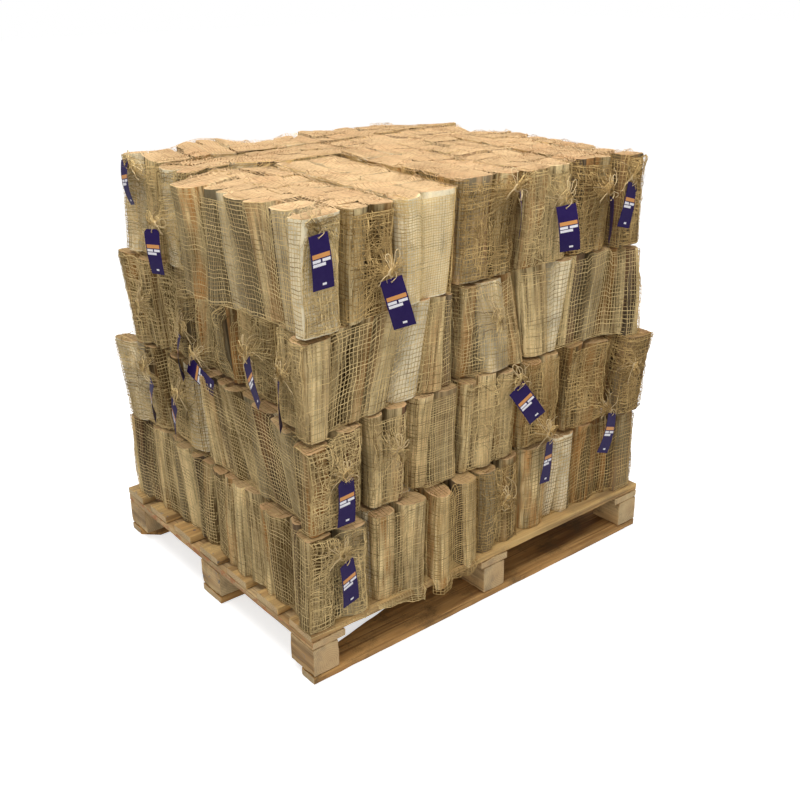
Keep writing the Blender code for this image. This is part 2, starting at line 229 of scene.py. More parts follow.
LAYERS = (
    Layer(
        bottom=(0.025, 1.175, 0.006, 0.955),
        top=(0.025, 1.175, 0.006, 0.975),
        blocks=(
            Block("Y", True, (0.006, 0.500), (0.025, 0.190, 0.370, 0.545, 0.720),
                  (BagPlan(lean=0.015), PLAIN, JOINED, PLAIN), (-0.007, 0.0, 0.0, 0.0, 0.0), 2.6),
            Block("X", False, (0.720, 1.175), (0.006, 0.175, 0.340, 0.490, 0.645, 0.800, 0.955),
                  (BagPlan(lean=0.020), JOINED, JOINED, PLAIN, JOINED, PLAIN), (0.010,) + (0.0,) * 6, 1.0),
            Block("Y", False, (0.500, 0.955), (0.025, 0.200, 0.370, 0.545, 0.720),
                  (BagPlan(lean=0.015), JOINED, JOINED, PLAIN), (0.004, 0.0, 0.0, 0.0, 0.0), -1.5),
        ),
    ),
    Layer(
        bottom=(0.035, 1.165, 0.025, 0.965),
        top=(0.035, 1.190, 0.025, 0.985),
        blocks=(
            Block("Y", True, (0.025, 0.560), (0.035, 0.200, 0.340, 0.490, 0.700, 0.885, 1.055, 1.165),
                  (BagPlan(lean=0.070), PLAIN, PLAIN, PLAIN, PLAIN, PLAIN, PLAIN),
                  (0.0, 0.004, -0.006, 0.008, 0.005, -0.004, 0.016, 0.029), 0.6),
            Block("X", True, (0.035, 0.610), (0.560, 0.765, 0.965), (PLAIN, PLAIN), (0.0, 0.0, 0.034)),
            Block("X", False, (0.610, 1.165), (0.560, 0.765, 0.965), (JOINED, PLAIN)),
        ),
    ),
    Layer(
        bottom=(0.040, 1.170, 0.030, 0.900),
        top=(0.045, 1.155, 0.030, 0.940),
        blocks=(
            Block("X", True, (0.040, 0.500), (0.030, 0.200, 0.380, 0.595, 0.750, 0.900),
                  (BagPlan(0.238, 0.060), BagPlan(0.228), BagPlan(0.208), PLAIN, PLAIN),
                  (0.0, 0.0, 0.0, 0.0, 0.016, 0.036)),
            Block("Y", True, (0.030, 0.470), (0.500, 0.735), (PLAIN,)),
            Block("Y", False, (0.470, 0.900), (0.500, 0.735), (PLAIN,)),
            Block("X", False, (0.735, 1.170), (0.030, 0.205, 0.380, 0.555, 0.730, 0.900),
                  (BagPlan(lean=0.040), JOINED, PLAIN, JOINED, PLAIN)),
        ),
    ),
    Layer(
        bottom=(0.050, 1.140, 0.030, 0.920),
        top=(0.058, 1.140, 0.030, 0.910),
        blocks=(
            Block("Y", True, (0.030, 0.565), (0.050, 0.170, 0.310, 0.495, 0.700, 0.895, 1.045, 1.140),
                  (BagPlan(0.252, 0.050, -0.045, 0.030), PLAIN, PLAIN, PLAIN, PLAIN, PLAIN, PLAIN),
                  (0.0, 0.0, 0.004, 0.020, 0.020, 0.016, 0.010, -0.006)),
            Block("X", True, (0.050, 0.600), (0.565, 0.745, 0.920), (BagPlan(0.256), BagPlan(0.262)),
                  (0.0, -0.004, -0.014)),
            Block("X", False, (0.600, 1.140), (0.565, 0.745, 0.920),
                  (BagPlan(0.256, joined_to_next=True), BagPlan(0.262))),
        ),
    ),
)


class MouthStyle(Enum):
    """How the net closes at a bag's outer end."""

    TIED = "tied"
    CLOSED = "closed"


@dataclass(frozen=True)
class TagPose:
    """Where a tag hangs, as it is seen in the photograph.

    face is F for the front, L for the left, B for the back and R for the right. along and height
    place its middle on that face. roll turns it in the face's plane, turn swings it out like a
    door, and bend curls it, all in degrees. clipped cuts off its top corners, and clear is how much
    further than usual it hangs off the net.
    """

    face: str
    along: float
    height: float
    roll: float = 0.0
    turn: float = 0.0
    bend: float = 12.0
    clipped: bool = False
    clear: float = 0.0


@dataclass(frozen=True)
class BagLook:
    """How one bag differs in looks.

    tone and warmth are its wood's, set lower and warmer on the bags to the right partly as painted
    shade, where the light falls off. cell is its net's mesh, puff is how deep its mouth's folds are,
    and scrunch says how densely its mouth is gathered, from 0 to 1. out is how much further its
    mouth end stands out, and hang how far that hangs down past the deck's edge, each at its low and
    its high side. pale_corner says that its corner log is bleached.
    """

    tone: float = 0.5
    warmth: float = 0.35
    mouth: MouthStyle = MouthStyle.TIED
    tag: Optional[TagPose] = None
    cell: float = NET_CELL
    puff: float = 0.007
    scrunch: float = 0.8
    knot: tuple[float, float] = (0.5, 0.62)
    out: tuple[float, float] = (0.0, 0.0)
    hang: tuple[float, float] = (0.0, 0.0)
    pale_corner: bool = False


# Bags towards the right have lower tones and higher warmth, partly as painted shade where the light falls off
# to the right.
LOOKS: dict[tuple[int, int], BagLook] = {
    (1, 1): BagLook(0.44, 0.4, tag=TagPose("F", 0.118, 0.240, 5, -14), out=(0.002, 0.020), hang=(0.0, 0.008)),
    (1, 2): BagLook(0.42, mouth=MouthStyle.CLOSED, cell=0.0110, out=(0.018, 0.031), hang=(0.008, 0.036)),
    (1, 3): BagLook(0.64, 0.6, MouthStyle.CLOSED, out=(0.029, 0.016), hang=(0.034, 0.012)),
    (1, 4): BagLook(0.48, 0.7, scrunch=0.4, puff=0.004, out=(0.008, 0.002)),
    (1, 5): BagLook(0.38, 0.85, cell=0.0100, out=(-0.012, -0.012)),
    (2, 1): BagLook(0.52, tag=TagPose("F", 0.119, 0.460, -2, -8, 14, True), out=(0.004, 0.010)),
    (2, 2): BagLook(0.72, scrunch=0.2, puff=0.003, cell=0.0102, out=(0.012, 0.020)),
    (2, 3): BagLook(0.60, 0.5, MouthStyle.CLOSED, out=(0.018, 0.014)),
    (2, 4): BagLook(0.60, 0.45, tag=TagPose("F", 0.711, 0.544, 35, 14, 16), scrunch=0.5,
                    out=(0.012, 0.012)),
    (2, 5): BagLook(0.46, 0.75, tag=TagPose("F", 0.798, 0.344, -12, -18, 6), scrunch=0.6,
                    out=(0.012, 0.010)),
    (2, 6): BagLook(0.48, 0.6, tag=TagPose("F", 1.047, 0.357, -20, -8, 24), scrunch=0.6,
                    out=(0.010, 0.010)),
    (2, 7): BagLook(0.40, 0.6, out=(0.010, 0.012)),
    (2, 8): BagLook(0.50, tag=TagPose("L", 0.634, 0.495, -24, 18)),
    (2, 9): BagLook(0.44, tag=TagPose("L", 0.755, 0.509, -8, 22, 30), out=(0.014, 0.014)),
    (3, 1): BagLook(0.58, 0.4, tag=TagPose("L", 0.089, 0.708, 4, 33), cell=0.0098),
    (3, 2): BagLook(0.50, tag=TagPose("L", 0.201, 0.727, 42, 14), out=(-0.010, -0.022)),
    (3, 3): BagLook(0.34, 0.5, tag=TagPose("L", 0.457, 0.669, 70, -4), puff=0.004, scrunch=0.35, cell=0.0105,
                    out=(-0.022, -0.022)),
    (3, 4): BagLook(0.44, tag=TagPose("L", 0.552, 0.693, 8, 26, 40), out=(-0.022, -0.014)),
    (3, 6): BagLook(0.62, 0.4, scrunch=0.12, puff=0.002),
    (3, 8): BagLook(0.60, 0.25, cell=0.0108),
    (4, 1): BagLook(0.54, 0.35, tag=TagPose("F", 0.081, 1.038, 4, -2, clear=0.012), cell=0.0086,
                    pale_corner=True),
    (4, 2): BagLook(0.42, 0.6, tag=TagPose("F", 0.284, 0.907, 15, 30, 10)),
    (4, 3): BagLook(0.95, 0.3, MouthStyle.CLOSED, cell=0.0086),
    (4, 4): BagLook(0.42, 0.7, tag=TagPose("F", 0.664, 1.049, 36, -44)),
    (4, 5): BagLook(0.42, 0.35, tag=TagPose("F", 0.837, 0.989, 8, 30, 34), scrunch=0.45, puff=0.003),
    (4, 6): BagLook(0.48, 0.8, tag=TagPose("F", 0.999, 0.985, 2, -47)),
    (4, 7): BagLook(0.48, 0.95, tag=TagPose("F", 1.068, 1.014, -16, -6), puff=0.010),
    (4, 8): BagLook(0.50, tag=TagPose("L", 0.642, 0.951, 4, -16, 16, True)),
    (4, 9): BagLook(0.50, tag=TagPose("L", 0.749, 1.112, 12, 8, 40), out=(-0.006, -0.006)),
}


def between(low: Values, high: Values, share: Values) -> Values:
    """Mix two values, or two arrays of them, by a share from 0 to 1."""
    return low + (high - low) * share


def kept_part(outline: Sequence, side: Sequence) -> list:
    """Cut a convex outline along a line.

    Args:
        outline: Its corners.
        side: For each corner how far it lies beyond the line, below 0 on the side that is kept.

    Returns:
        The corners of the part that is kept.
    """
    kept = []
    for index, (point, here) in enumerate(zip(outline, side)):
        following = (index + 1) % len(outline)
        if here <= 0:
            kept.append(tuple(point))
        if here * side[following] < 0:
            share = here / (here - side[following])
            kept.append(tuple(between(p, q, share) for p, q in zip(point, outline[following])))
    return kept


def log_cells(length: float, width: float, rng: random.Random) -> list:
    """Divide a bag's plan into one convex cell for each log, around jittered sites.

    Args:
        length: The bag's length.
        width: The bag's width.
        rng: The bag's own random numbers.

    Returns:
        Each cell's corners.
    """
    columns = round(length / LOG_PITCH)
    rows = max(1, round(width / ROW_PITCH))
    sites = []
    for row in range(rows):
        for column in range(columns):
            along = (column + 0.5 + rng.uniform(-SITE_JITTER, SITE_JITTER)) * (length / columns)
            across = (row + 0.5 + rng.uniform(-SITE_JITTER, SITE_JITTER)) * (width / rows)
            sites.append((along, across))
    cells = []
    for site in sites:
        cell = [(0.0, 0.0), (length, 0.0), (length, width), (0.0, width)]
        for other in sites:
            if other is not site:
                mid = [(p + q) / 2 for p, q in zip(site, other)]
                way = [q - p for p, q in zip(site, other)]
                cell = kept_part(cell, [(p[0] - mid[0]) * way[0] + (p[1] - mid[1]) * way[1] for p in cell])
        cells.append(cell)
    return cells


def merge_corners(cells: list) -> tuple[list, list]:
    """Give every corner of the cells a key, the same key where corners meet.

    Args:
        cells: Each cell's corners.

    Returns:
        The corners' places by key, and a ring of keys for each cell.
    """
    places = []
    keyed = []
    for cell in cells:
        ring = []
        for point in cell:
            near = [key for key, place in enumerate(places) if math.dist(place, point) < SAME_PLACE]
            if not near:
                places.append(point)
            key = near[0] if near else len(places) - 1
            if key not in ring:
                ring.append(key)
        keyed.append(ring)
    return places, keyed


def ring_edges(ring: list) -> list:
    """The edges of a ring of keys, as pairs."""
    return [(key, ring[(index + 1) % len(ring)]) for index, key in enumerate(ring)]


def free_side(edge: Sequence, size: Sequence, shared: tuple) -> Optional[tuple]:
    """The way out across a cell edge.

    Args:
        edge: The edge's two ends.
        size: The bag's length and width.
        shared: Whether each long side is joined to the next bag.

    Returns:
        The way, or None where the edge isn't on a free side of the bag.
    """
    for way, place, held in zip(WAYS, (0.0, size[0], 0.0, size[1]), (False, False, *shared)):
        if not held and all(abs(point[abs(way[1])] - place) < SAME_PLACE for point in edge):
            return way
    return None


def shape_logs(cells: list, size: Sequence, shared: tuple, shown: set, rng: random.Random) -> tuple:
    """Give the logs the solids' relief: a ridge on each free side, a groove between neighbours.

    Args:
        cells: The convex cells, one for each log.
        size: The bag's length and width.
        shared: Whether each long side is joined to the next bag.
        shown: The ways out that can be seen.
        rng: The bag's own random numbers.

    Returns:
        The corner places by key in the solids, the same with relief on the shown sides alone, and a
        ring of keys for each log.
    """
    places, rings = merge_corners(cells)
    moves = {key: set() for key in range(len(places))}
    shaped = []
    for ring in rings:
        result = []
        for edge in ring_edges(ring):
            first, second = (places[key] for key in edge)
            result.append(edge[0])
            way = free_side((first, second), size, shared)
            if way is not None:
                for key in edge:
                    moves[key].add(way)
                share = rng.uniform(0.3, 0.7)
                result.append(len(places))
                places.append(tuple(between(p, q, share) for p, q in zip(first, second)))
        shaped.append(result)
    reach = {key: GROOVE_DEPTH / GROOVE_SHARE for key in moves}
    for first, second in [edge for ring in rings for edge in ring_edges(ring)]:
        if not moves[first] & moves[second]:
            distance = math.dist(places[first], places[second])
            reach[first] = min(reach[first], distance)
            reach[second] = min(reach[second], distance)
    seen = list(places)
    for key, ways in moves.items():
        depth = CORNER_DEPTH if len(ways) > 1 else GROOVE_SHARE * reach[key]
        seen_depth = 0.0 if len(ways & shown) > 1 else depth
        seen[key] = tuple(v - seen_depth * sum(way[axis] for way in ways & shown)
                          for axis, v in enumerate(places[key]))
        x, y = (v - depth * sum(way[axis] for way in ways) for axis, v in enumerate(places[key]))
        if shared[0] and y < SAME_PLACE:
            y = -JOINT_BITE
        if shared[1] and y > size[1] - SAME_PLACE:
            y = size[1] + JOINT_BITE
        places[key] = (x, y)
    return places, seen, shaped


def hulls_overlap(first: Sequence, second: Sequence) -> bool:
    """Look for a line that parts two convex outlines in plan.

    Args:
        first: One outline's corners.
        second: The other's.

    Returns:
        Whether they overlap.
    """
    for outline in (first, second):
        for point, following in ring_edges(outline):
            normal = (following[1] - point[1], point[0] - following[0])
            a, b = ([p[0] * normal[0] + p[1] * normal[1] for p in other] for other in (first, second))
            if max(a) <= min(b) or max(b) <= min(a):
                return False
    return True


class BagLayout:
    """One bag as the solids have it: where it stands, and each log's corners and height.

    along is measured from the block's start, across from the bag's low side and height from the
    bag's floor. axis is 0 where along runs left to right and 1 where it runs front to back. shows
    says of the low and the high end, and of the low and the high side, whether they can be seen.
    """

    def __init__(self, layer_index: int, block: Block, number: int, below: list, rng: random.Random) -> None:
        """Lay the bag out on the logs below it, in the solids' own order of random draws.

        Args:
            layer_index: The layer's number from the deck up, from 0.
            block: The block that the bag is in.
            number: Its number in the block, from 0.
            below: The outlines of the log tops below.
            rng: The bag's own random numbers.
        """
        self.layer_index, self.layer = layer_index, LAYERS[layer_index]
        self.topmost = layer_index == len(LAYERS) - 1
        self.block, self.number, self.plan = block, number, block.bags[number]
        self.node, self.title, self.look = "", "", BagLook()
        self.sways = block.sways[number:number + 2] or (0.0, 0.0)
        self.axis = "XY".index(block.along)
        self.along_way, self.across_way = np.eye(3)[[self.axis, 1 - self.axis]]
        self.mouth_way = self.along_way * (-1.0 if block.mouth_at_start else 1.0)
        shared = (number > 0 and block.bags[number - 1].joined_to_next, self.plan.joined_to_next)
        start, end = block.span
        low, high = block.borders[number], block.borders[number + 1]
        self.start = start + (MOUTH_SETBACK if block.mouth_at_start else BAG_CLEARANCE)
        self.length = end - (BAG_CLEARANCE if block.mouth_at_start else MOUTH_SETBACK) - self.start
        self.mouth_along = 0.0 if block.mouth_at_start else self.length
        self.low = low + (0.0 if shared[0] else BAG_CLEARANCE)
        self.width = high - (0.0 if shared[1] else BAG_CLEARANCE) - self.low
        self.size = (self.length, self.width)
        self.floor = self.rest_on(below)
        cells = log_cells(self.length, self.width, rng)
        self.shows = ((block.mouth_at_start, not block.mouth_at_start),
                      (self.side_shows(False), self.side_shows(True)))
        shown = {way for way, shows in zip(WAYS, sum(self.shows, ())) if shows}
        self.places, self.seen, self.rings = shape_logs(cells, self.size, shared, shown, rng)
        count = len(self.rings)
        self.heights = [self.plan.log_length - LOG_SHORTER * rank / count for rank in range(count)]
        rng.shuffle(self.heights)

    def seed(self, base: int, step: int, spread: int) -> int:
        """A number of the bag's own, from which one kind of piece draws its chances."""
        return (base + 1000 * self.layer_index + step * self.number + ord(self.block.along)
                + round(spread * self.block.span[0]))

    def rest_on(self, below: list) -> float:
        """Find the bag's floor, just above the highest log that it stands on, or above the deck.

        Args:
            below: The outlines of the log tops below.

        Returns:
            The floor's height.
        """
        corners = ((0, 0), (self.length, 0), (self.length, self.width), (0, self.width))
        footprint = [self.in_plan(*corner) for corner in corners]
        floor = 3 * BOARD_THICKNESS + BLOCK_HEIGHT
        for outline in below:
            if hulls_overlap(footprint, outline):
                for point in outline:
                    share = min(max((point[self.axis] - self.start) / self.length, 0.0), 1.0)
                    floor = max(floor, point[2] + self.plan.tilt * share)
        return floor + TOUCH_GAP

    def in_plan(self, along: Values, across: Values, fan: float = 0.0) -> tuple:
        """A place in the bag as (x, y) on the pallet, at the bag's floor."""
        swing = self.plan.swing * along / self.length * (1.0 - fan * across / self.width)
        spot = self.start + along, self.low + across + swing
        return spot[::-1] if self.axis else spot

    def place(self, along: Values, across: Values, height: Values, solid: bool = False) -> np.ndarray:
        """Places in the bag as points, measured from the pallet's front left corner.

        Args:
            along: How far along the bag, a number or an array.
            across: How far across it.
            height: How far above its floor.
            solid: Whether the points are the solid's, without the looks' own shifts.

        Returns:
            The points, with X, Y and Z on the last axis.
        """
        along, across, height = np.broadcast_arrays(*(np.asarray(v, float) for v in (along, across, height)))
        share, rise, aside = along / self.length, height / self.plan.log_length, across / self.width
        fan = 0.0 if solid else 1.0
        if not solid:
            reach = MOUTH_REACH[self.block.along, self.block.mouth_at_start] + between(*self.look.out, aside)
            along = along + reach * (share - (1.0 if self.block.mouth_at_start else 0.0))
        foot = self.in_plan(along, across, fan)
        bent = self.in_plan(along + 4 * self.plan.lean * share * (1 - share), across, fan)
        spot = []
        for axis in (0, 1):
            low, high = self.layer.bottom[2 * axis:2 * axis + 2]
            head = between(*self.layer.top[2 * axis:2 * axis + 2], (bent[axis] - low) / (high - low))
            spot.append(between(foot[axis], head, rise))
        tilt = self.plan.tilt * share * (1.0 - 0.8 * fan * across / self.width) * (1.0 - 0.6 * fan * rise)
        points = np.stack([*spot, self.floor - tilt + height], -1)
        if not solid:
            sway = between(*self.sways, aside) * between(self.block.flare, 1.0, rise)
            points[..., 1 - self.axis] += sway
            if self.topmost and self.axis:
                points[..., 2] += TOP_RISE * share ** 2 * rise ** 2
            points[..., 2] += self.swell(self.layer_index, points) * rise ** 2
            if self.layer_index:
                points[..., 2] += self.swell(self.layer_index - 1, points) * (1.0 - rise)
        return points

    @staticmethod
    def swell(layer: int, points: np.ndarray) -> np.ndarray:
        """How far a layer's top lies above its even height at some points."""
        total = np.zeros(points.shape[:-1])
        for x, y, reach, rise in SWELLS[layer]:
            near = np.clip(1.0 - np.hypot(points[..., 0] - x, points[..., 1] - y) / reach, 0.0, 1.0)
            total += rise * near * near * (3.0 - 2.0 * near)
        return total

    def log_tops(self) -> list:
        """The outline of every log's top."""
        tops = []
        for ring, height in zip(self.rings, self.heights):
            places = np.array([self.places[key] for key in ring])
            tops.append(self.place(places[:, 0], places[:, 1], height, solid=True).tolist())
        return tops

    def log_length(self, height: float) -> float:
        """A log's length in the looks: on top they are more alike."""
        return between(max(self.heights), height, TOP_UNEVENNESS) if self.topmost else height

    def side_shows(self, high: bool) -> bool:
        """Whether a long side lies on the load's outline."""
        outline = self.layer.bottom[2 - 2 * self.axis + high]
        return abs(self.block.borders[self.number + high] - outline) < SAME_PLACE

    def depth_inside(self, points: np.ndarray) -> np.ndarray:
        """How far points lie inside the layer's top outline, in plan."""
        x0, x1, y0, y1 = self.layer.top
        x, y = points[..., 0], points[..., 1]
        return np.minimum(np.minimum(x - x0, x1 - x), np.minimum(y - y0, y1 - y))


def lay_out_bags() -> list[BagLayout]:
    """Lay out every bag from the deck up, with its node, its title and its looks."""
    bags = []
    below: list = []
    for layer_index, layer in enumerate(LAYERS):
        placed: list[BagLayout] = []
        for block in layer.blocks:
            for number in range(len(block.bags)):
                rng = random.Random(100 * layer_index + len(placed))
                placed.append(BagLayout(layer_index, block, number, below, rng))
        below = [outline for bag in placed for outline in bag.log_tops()]
        group: list[BagLayout] = []
        count = 0
        for index, bag in enumerate(placed):
            bag.title = f"layer{layer_index + 1}_bag{index + 1}"
            bag.look = LOOKS.get((layer_index + 1, index + 1)) or plain_look(layer_index, index)
            group.append(bag)
            if bag.plan.joined_to_next:
                continue
            count += 1
            kind = "log_bags" if len(group) > 1 else "log_bag"
            for member in group:
                member.node = f"{kind}_layer{layer_index + 1}_{count}"
            group = []
        bags.extend(placed)
    return bags


def plain_look(layer_index: int, index: int) -> BagLook:
    """The looks of a bag that the photograph doesn't show well: like the others, from a seed."""
    rng = random.Random(7000 + 100 * layer_index + index)
    return BagLook(rng.uniform(0.38, 0.64), rng.uniform(0.2, 0.7), puff=rng.uniform(0.004, 0.009),
                   scrunch=rng.uniform(0.5, 0.9), knot=(rng.uniform(0.38, 0.62), rng.uniform(0.45, 0.70)))


def smooth_noise(rng: np.random.Generator, shape: tuple[int, int], cells: tuple[int, int],
                 wraps: bool = False) -> np.ndarray:
    """Soft random values from -1 to 1 on a grid.

    Args:
        rng: The random numbers.
        shape: The grid's rows and columns.
        cells: How many random cells lie along each.
        wraps: Whether the last column runs on into the first.

    Returns:
        The values, one for each grid point.
    """
    coarse = rng.uniform(-1.0, 1.0, (cells[0] + 1, cells[1] + 1))
    if wraps:
        coarse[:, -1] = coarse[:, 0]

    def stretch(values: np.ndarray, count: int, closed: bool) -> np.ndarray:
        """Spread rows of values smoothly over a count of rows."""
        places = np.linspace(0, len(values) - 1, count, endpoint=not closed)
        low = np.minimum(places.astype(int), len(values) - 2)
        share = (places - low)[:, None]
        share = share * share * (3 - 2 * share)
        return between(values[low], values[low + 1], share)

    return stretch(stretch(coarse, shape[0], False).T, shape[1], wraps).T


def unit(vectors: np.ndarray) -> np.ndarray:
    """Vectors scaled to length 1."""
    return vectors / np.maximum(np.linalg.norm(vectors, axis=-1, keepdims=True), 1e-9)


class MeshDraft:
    """Points, faces and per-point values gathered for one mesh."""

    def __init__(self) -> None:
        """Start with nothing in it."""
        self.points: list[np.ndarray] = []
        self.faces: list[tuple[np.ndarray, np.ndarray]] = []
        self.values: dict[str, list[np.ndarray]] = {}
        self.count = 0

    def add(self, points: np.ndarray, faces: Iterable[np.ndarray], finish: int = 0,
            **values: np.ndarray) -> None:
        """Add points with faces over them.

        Args:
            points: The points, one a row.
            faces: Arrays of corner numbers, each with one number of corners.
            finish: The material's number.
            values: Per-point values, one number or three each.
        """
        self.points.append(points)
        for corners in faces:
            if len(corners):
                self.faces.append((corners + self.count, np.full(len(corners), finish)))
        for name, value in values.items():
            self.values.setdefault(name, []).append(value)
        self.count += len(points)

    def make(self, name: str, materials: Sequence[bpy.types.Material],
             smooth: bool = True) -> bpy.types.Object:
        """Make the object, measured from the shared frame's origin.

        Args:
            name: The object's name.
            materials: Its materials, in the order of the finish numbers.
            smooth: Whether it is shaded smooth.

        Returns:
            The new object, in the scene.
        """
        mesh = bpy.data.meshes.new(name)
        points = np.concatenate(self.points) - ORIGIN
        corners = np.concatenate([faces.ravel() for faces, _ in self.faces])
        sides = np.concatenate([np.full(len(faces), faces.shape[1]) for faces, _ in self.faces])
        mesh.vertices.add(len(points))
        mesh.vertices.foreach_set("co", points.astype(np.float32).ravel())
        mesh.loops.add(len(corners))
        mesh.loops.foreach_set("vertex_index", corners.astype(np.int32))
        mesh.polygons.add(len(sides))
        mesh.polygons.foreach_set("loop_start", np.concatenate(([0], np.cumsum(sides)[:-1])).astype(np.int32))
        finishes = np.concatenate([finish for _, finish in self.faces])
        mesh.polygons.foreach_set("material_index", finishes.astype(np.int32))
        mesh.polygons.foreach_set("use_smooth", np.full(len(sides), smooth))
        for key, parts in self.values.items():
            value = np.concatenate(parts).astype(np.float32)
            if value.ndim == 1:
                mesh.attributes.new(key, "FLOAT", "POINT").data.foreach_set("value", value)
            else:
                mesh.attributes.new(key, "FLOAT_VECTOR", "POINT").data.foreach_set("vector", value.ravel())
        for material in materials:
            mesh.materials.append(material)
        mesh.update(calc_edges=True)
        piece = bpy.data.objects.new(name, mesh)
        bpy.context.scene.collection.objects.link(piece)
        return piece


def ring_faces(rings: int, sides: int) -> np.ndarray:
    """Quads between closed rings of points that follow each other.

    Args:
        rings: How many rings there are.
        sides: How many points a ring has.

    Returns:
        Four corner numbers for each quad.
    """
    ring, side = np.meshgrid(np.arange(rings - 1), np.arange(sides), indexing="ij")
    following = (side + 1) % sides
    low, high = ring * sides, (ring + 1) * sides
    return np.stack([low + side, low + following, high + following, high + side], -1).reshape(-1, 4)


def fan_faces(start: int, sides: int, centre: int, flip: bool) -> np.ndarray:
    """Triangles from a ring of points to one centre point.

    Args:
        start: The ring's first point.
        sides: How many points it has.
        centre: The centre point.
        flip: Whether the triangles face the other way.

    Returns:
        Three corner numbers for each triangle.
    """
    side = np.arange(sides)
    following = (side + 1) % sides
    ends = (following, side) if flip else (side, following)
    return np.stack([start + ends[0], start + ends[1], np.full(sides, centre)], -1)


def sweep(draft: MeshDraft, path: np.ndarray, radius: Values, sides: int, finish: int = 0,
          closed_ends: bool = True, **values: float) -> None:
    """Add a tube along a path.

    Args:
        draft: The mesh that it goes into.
        path: The points of its centreline.
        radius: Its radius, a number or one for each point.
        sides: How many sides it has.
        finish: The material's number.
        closed_ends: Whether its ends are closed.
        values: Values that are the same all over it.
    """
    ways = unit(np.gradient(path, axis=0))
    helper = np.tile((0.0, 0.0, 1.0), (len(path), 1))
    helper[np.abs(ways[:, 2]) > 0.9] = (1.0, 0.0, 0.0)
    first = unit(np.cross(ways, helper))
    for index in range(1, len(path)):
        carried = first[index - 1] - ways[index] * (first[index - 1] @ ways[index])
        first[index] = unit(carried)
    second = np.cross(ways, first)
    angles = np.arange(sides) * (2 * math.pi / sides)
    around = first[:, None] * np.cos(angles)[None, :, None] + second[:, None] * np.sin(angles)[None, :, None]
    radii = np.broadcast_to(np.asarray(radius, float), (len(path),))
    points = (path[:, None] + around * radii[:, None, None]).reshape(-1, 3)
    faces = [ring_faces(len(path), sides)]
    if closed_ends:
        last = (len(path) - 1) * sides
        points = np.concatenate([points, path[:1], path[-1:]])
        faces.append(fan_faces(0, sides, len(points) - 2, True))
        faces.append(fan_faces(last, sides, len(points) - 1, False))
    spread = {name: np.full(len(points), value) for name, value in values.items()}
    draft.add(points, faces, finish, **spread)


def smooth_path(points: Sequence, steps: int) -> np.ndarray:
    """Points along a smooth curve through the given ones.

    Args:
        points: The points that it goes through.
        steps: How many steps it takes from each to the next.

    Returns:
        The curve's points.
    """
    knots = np.array(points, float)
    padded = np.concatenate([2 * knots[:1] - knots[1:2], knots, 2 * knots[-1:] - knots[-2:-1]])
    made = []
    for index in range(len(knots) - 1):
        a, b, c, d = padded[index:index + 4]
        for step in range(steps):
            t = step / steps
            made.append(0.5 * (2 * b + (c - a) * t + (2 * a - 5 * b + 4 * c - d) * t * t
                               + (3 * b - a - 3 * c + d) * t * t * t))
    made.append(knots[-1])
    return np.array(made)


class NodeBoard:
    """Adds the nodes of one shader tree and links them."""

    def __init__(self, tree: bpy.types.NodeTree) -> None:
        """Work on a tree."""
        self.tree = tree

    def feed(self, socket: bpy.types.NodeSocket, value: Given) -> None:
        """Link an output into a socket, or set the socket to a plain value."""
        if isinstance(value, bpy.types.NodeSocket):
            self.tree.links.new(value, socket)
        else:
            opaque = socket.type == "RGBA" and len(value) == 3
            socket.default_value = (*value, 1.0) if opaque else value

    def add(self, kind: str, inputs: Optional[dict] = None, **settings) -> bpy.types.Node:
        """Add a node.

        Args:
            kind: The node's type.
            inputs: Its inputs by name or number: a socket is linked, anything else is its value.
            settings: Its own settings.

        Returns:
            The new node.
        """
        node = self.tree.nodes.new(kind)
        for name, value in settings.items():
            setattr(node, name, value)
        for name, value in (inputs or {}).items():
            self.feed(node.inputs[name], value)
        return node

    def maths(self, operation: str, first: Given, second: Given = 0.0,
              clamp: bool = False) -> bpy.types.NodeSocket:
        """A Math node's output."""
        node = self.add("ShaderNodeMath", {0: first, 1: second}, operation=operation, use_clamp=clamp)
        return node.outputs[0]

    def times(self, first: Given, second: Given, clamp: bool = False) -> bpy.types.NodeSocket:
        """One value times another."""
        return self.maths("MULTIPLY", first, second, clamp)

    def swayed(self, base: Given, value: Given, amount: float,
               clamp: bool = False) -> bpy.types.NodeSocket:
        """A base that goes up or down by up to half the amount, as a value goes from 0 to 1."""
        return self.maths("ADD", base, self.times(self.maths("SUBTRACT", value, 0.5), amount), clamp)

    def mix(self, share: Given, first: Given, second: Given) -> bpy.types.NodeSocket:
        """A colour mix's output."""
        return self.add("ShaderNodeMix", {0: share, 6: first, 7: second}, data_type="RGBA").outputs[2]

    def stretched(self, vector: Given, *scale: float) -> bpy.types.NodeSocket:
        """A vector times a scale for each axis."""
        return self.add("ShaderNodeVectorMath", {0: vector, 1: scale}, operation="MULTIPLY").outputs[0]

    def noise(self, vector: Given, scale: Given, detail: float = 3.0,
              roughness: float = 0.55) -> bpy.types.NodeSocket:
        """A Noise texture's value."""
        inputs = {"Vector": vector, "Scale": scale, "Detail": detail, "Roughness": roughness}
        return self.add("ShaderNodeTexNoise", inputs).outputs[0]

    def ramp(self, value: Given, low: float, high: float) -> bpy.types.NodeSocket:
        """A value spread from 0 at low to 1 at high."""
        inputs = {0: value, 1: low, 2: high, 3: 0.0, 4: 1.0}
        return self.add("ShaderNodeMapRange", inputs, interpolation_type="SMOOTHSTEP").outputs[0]


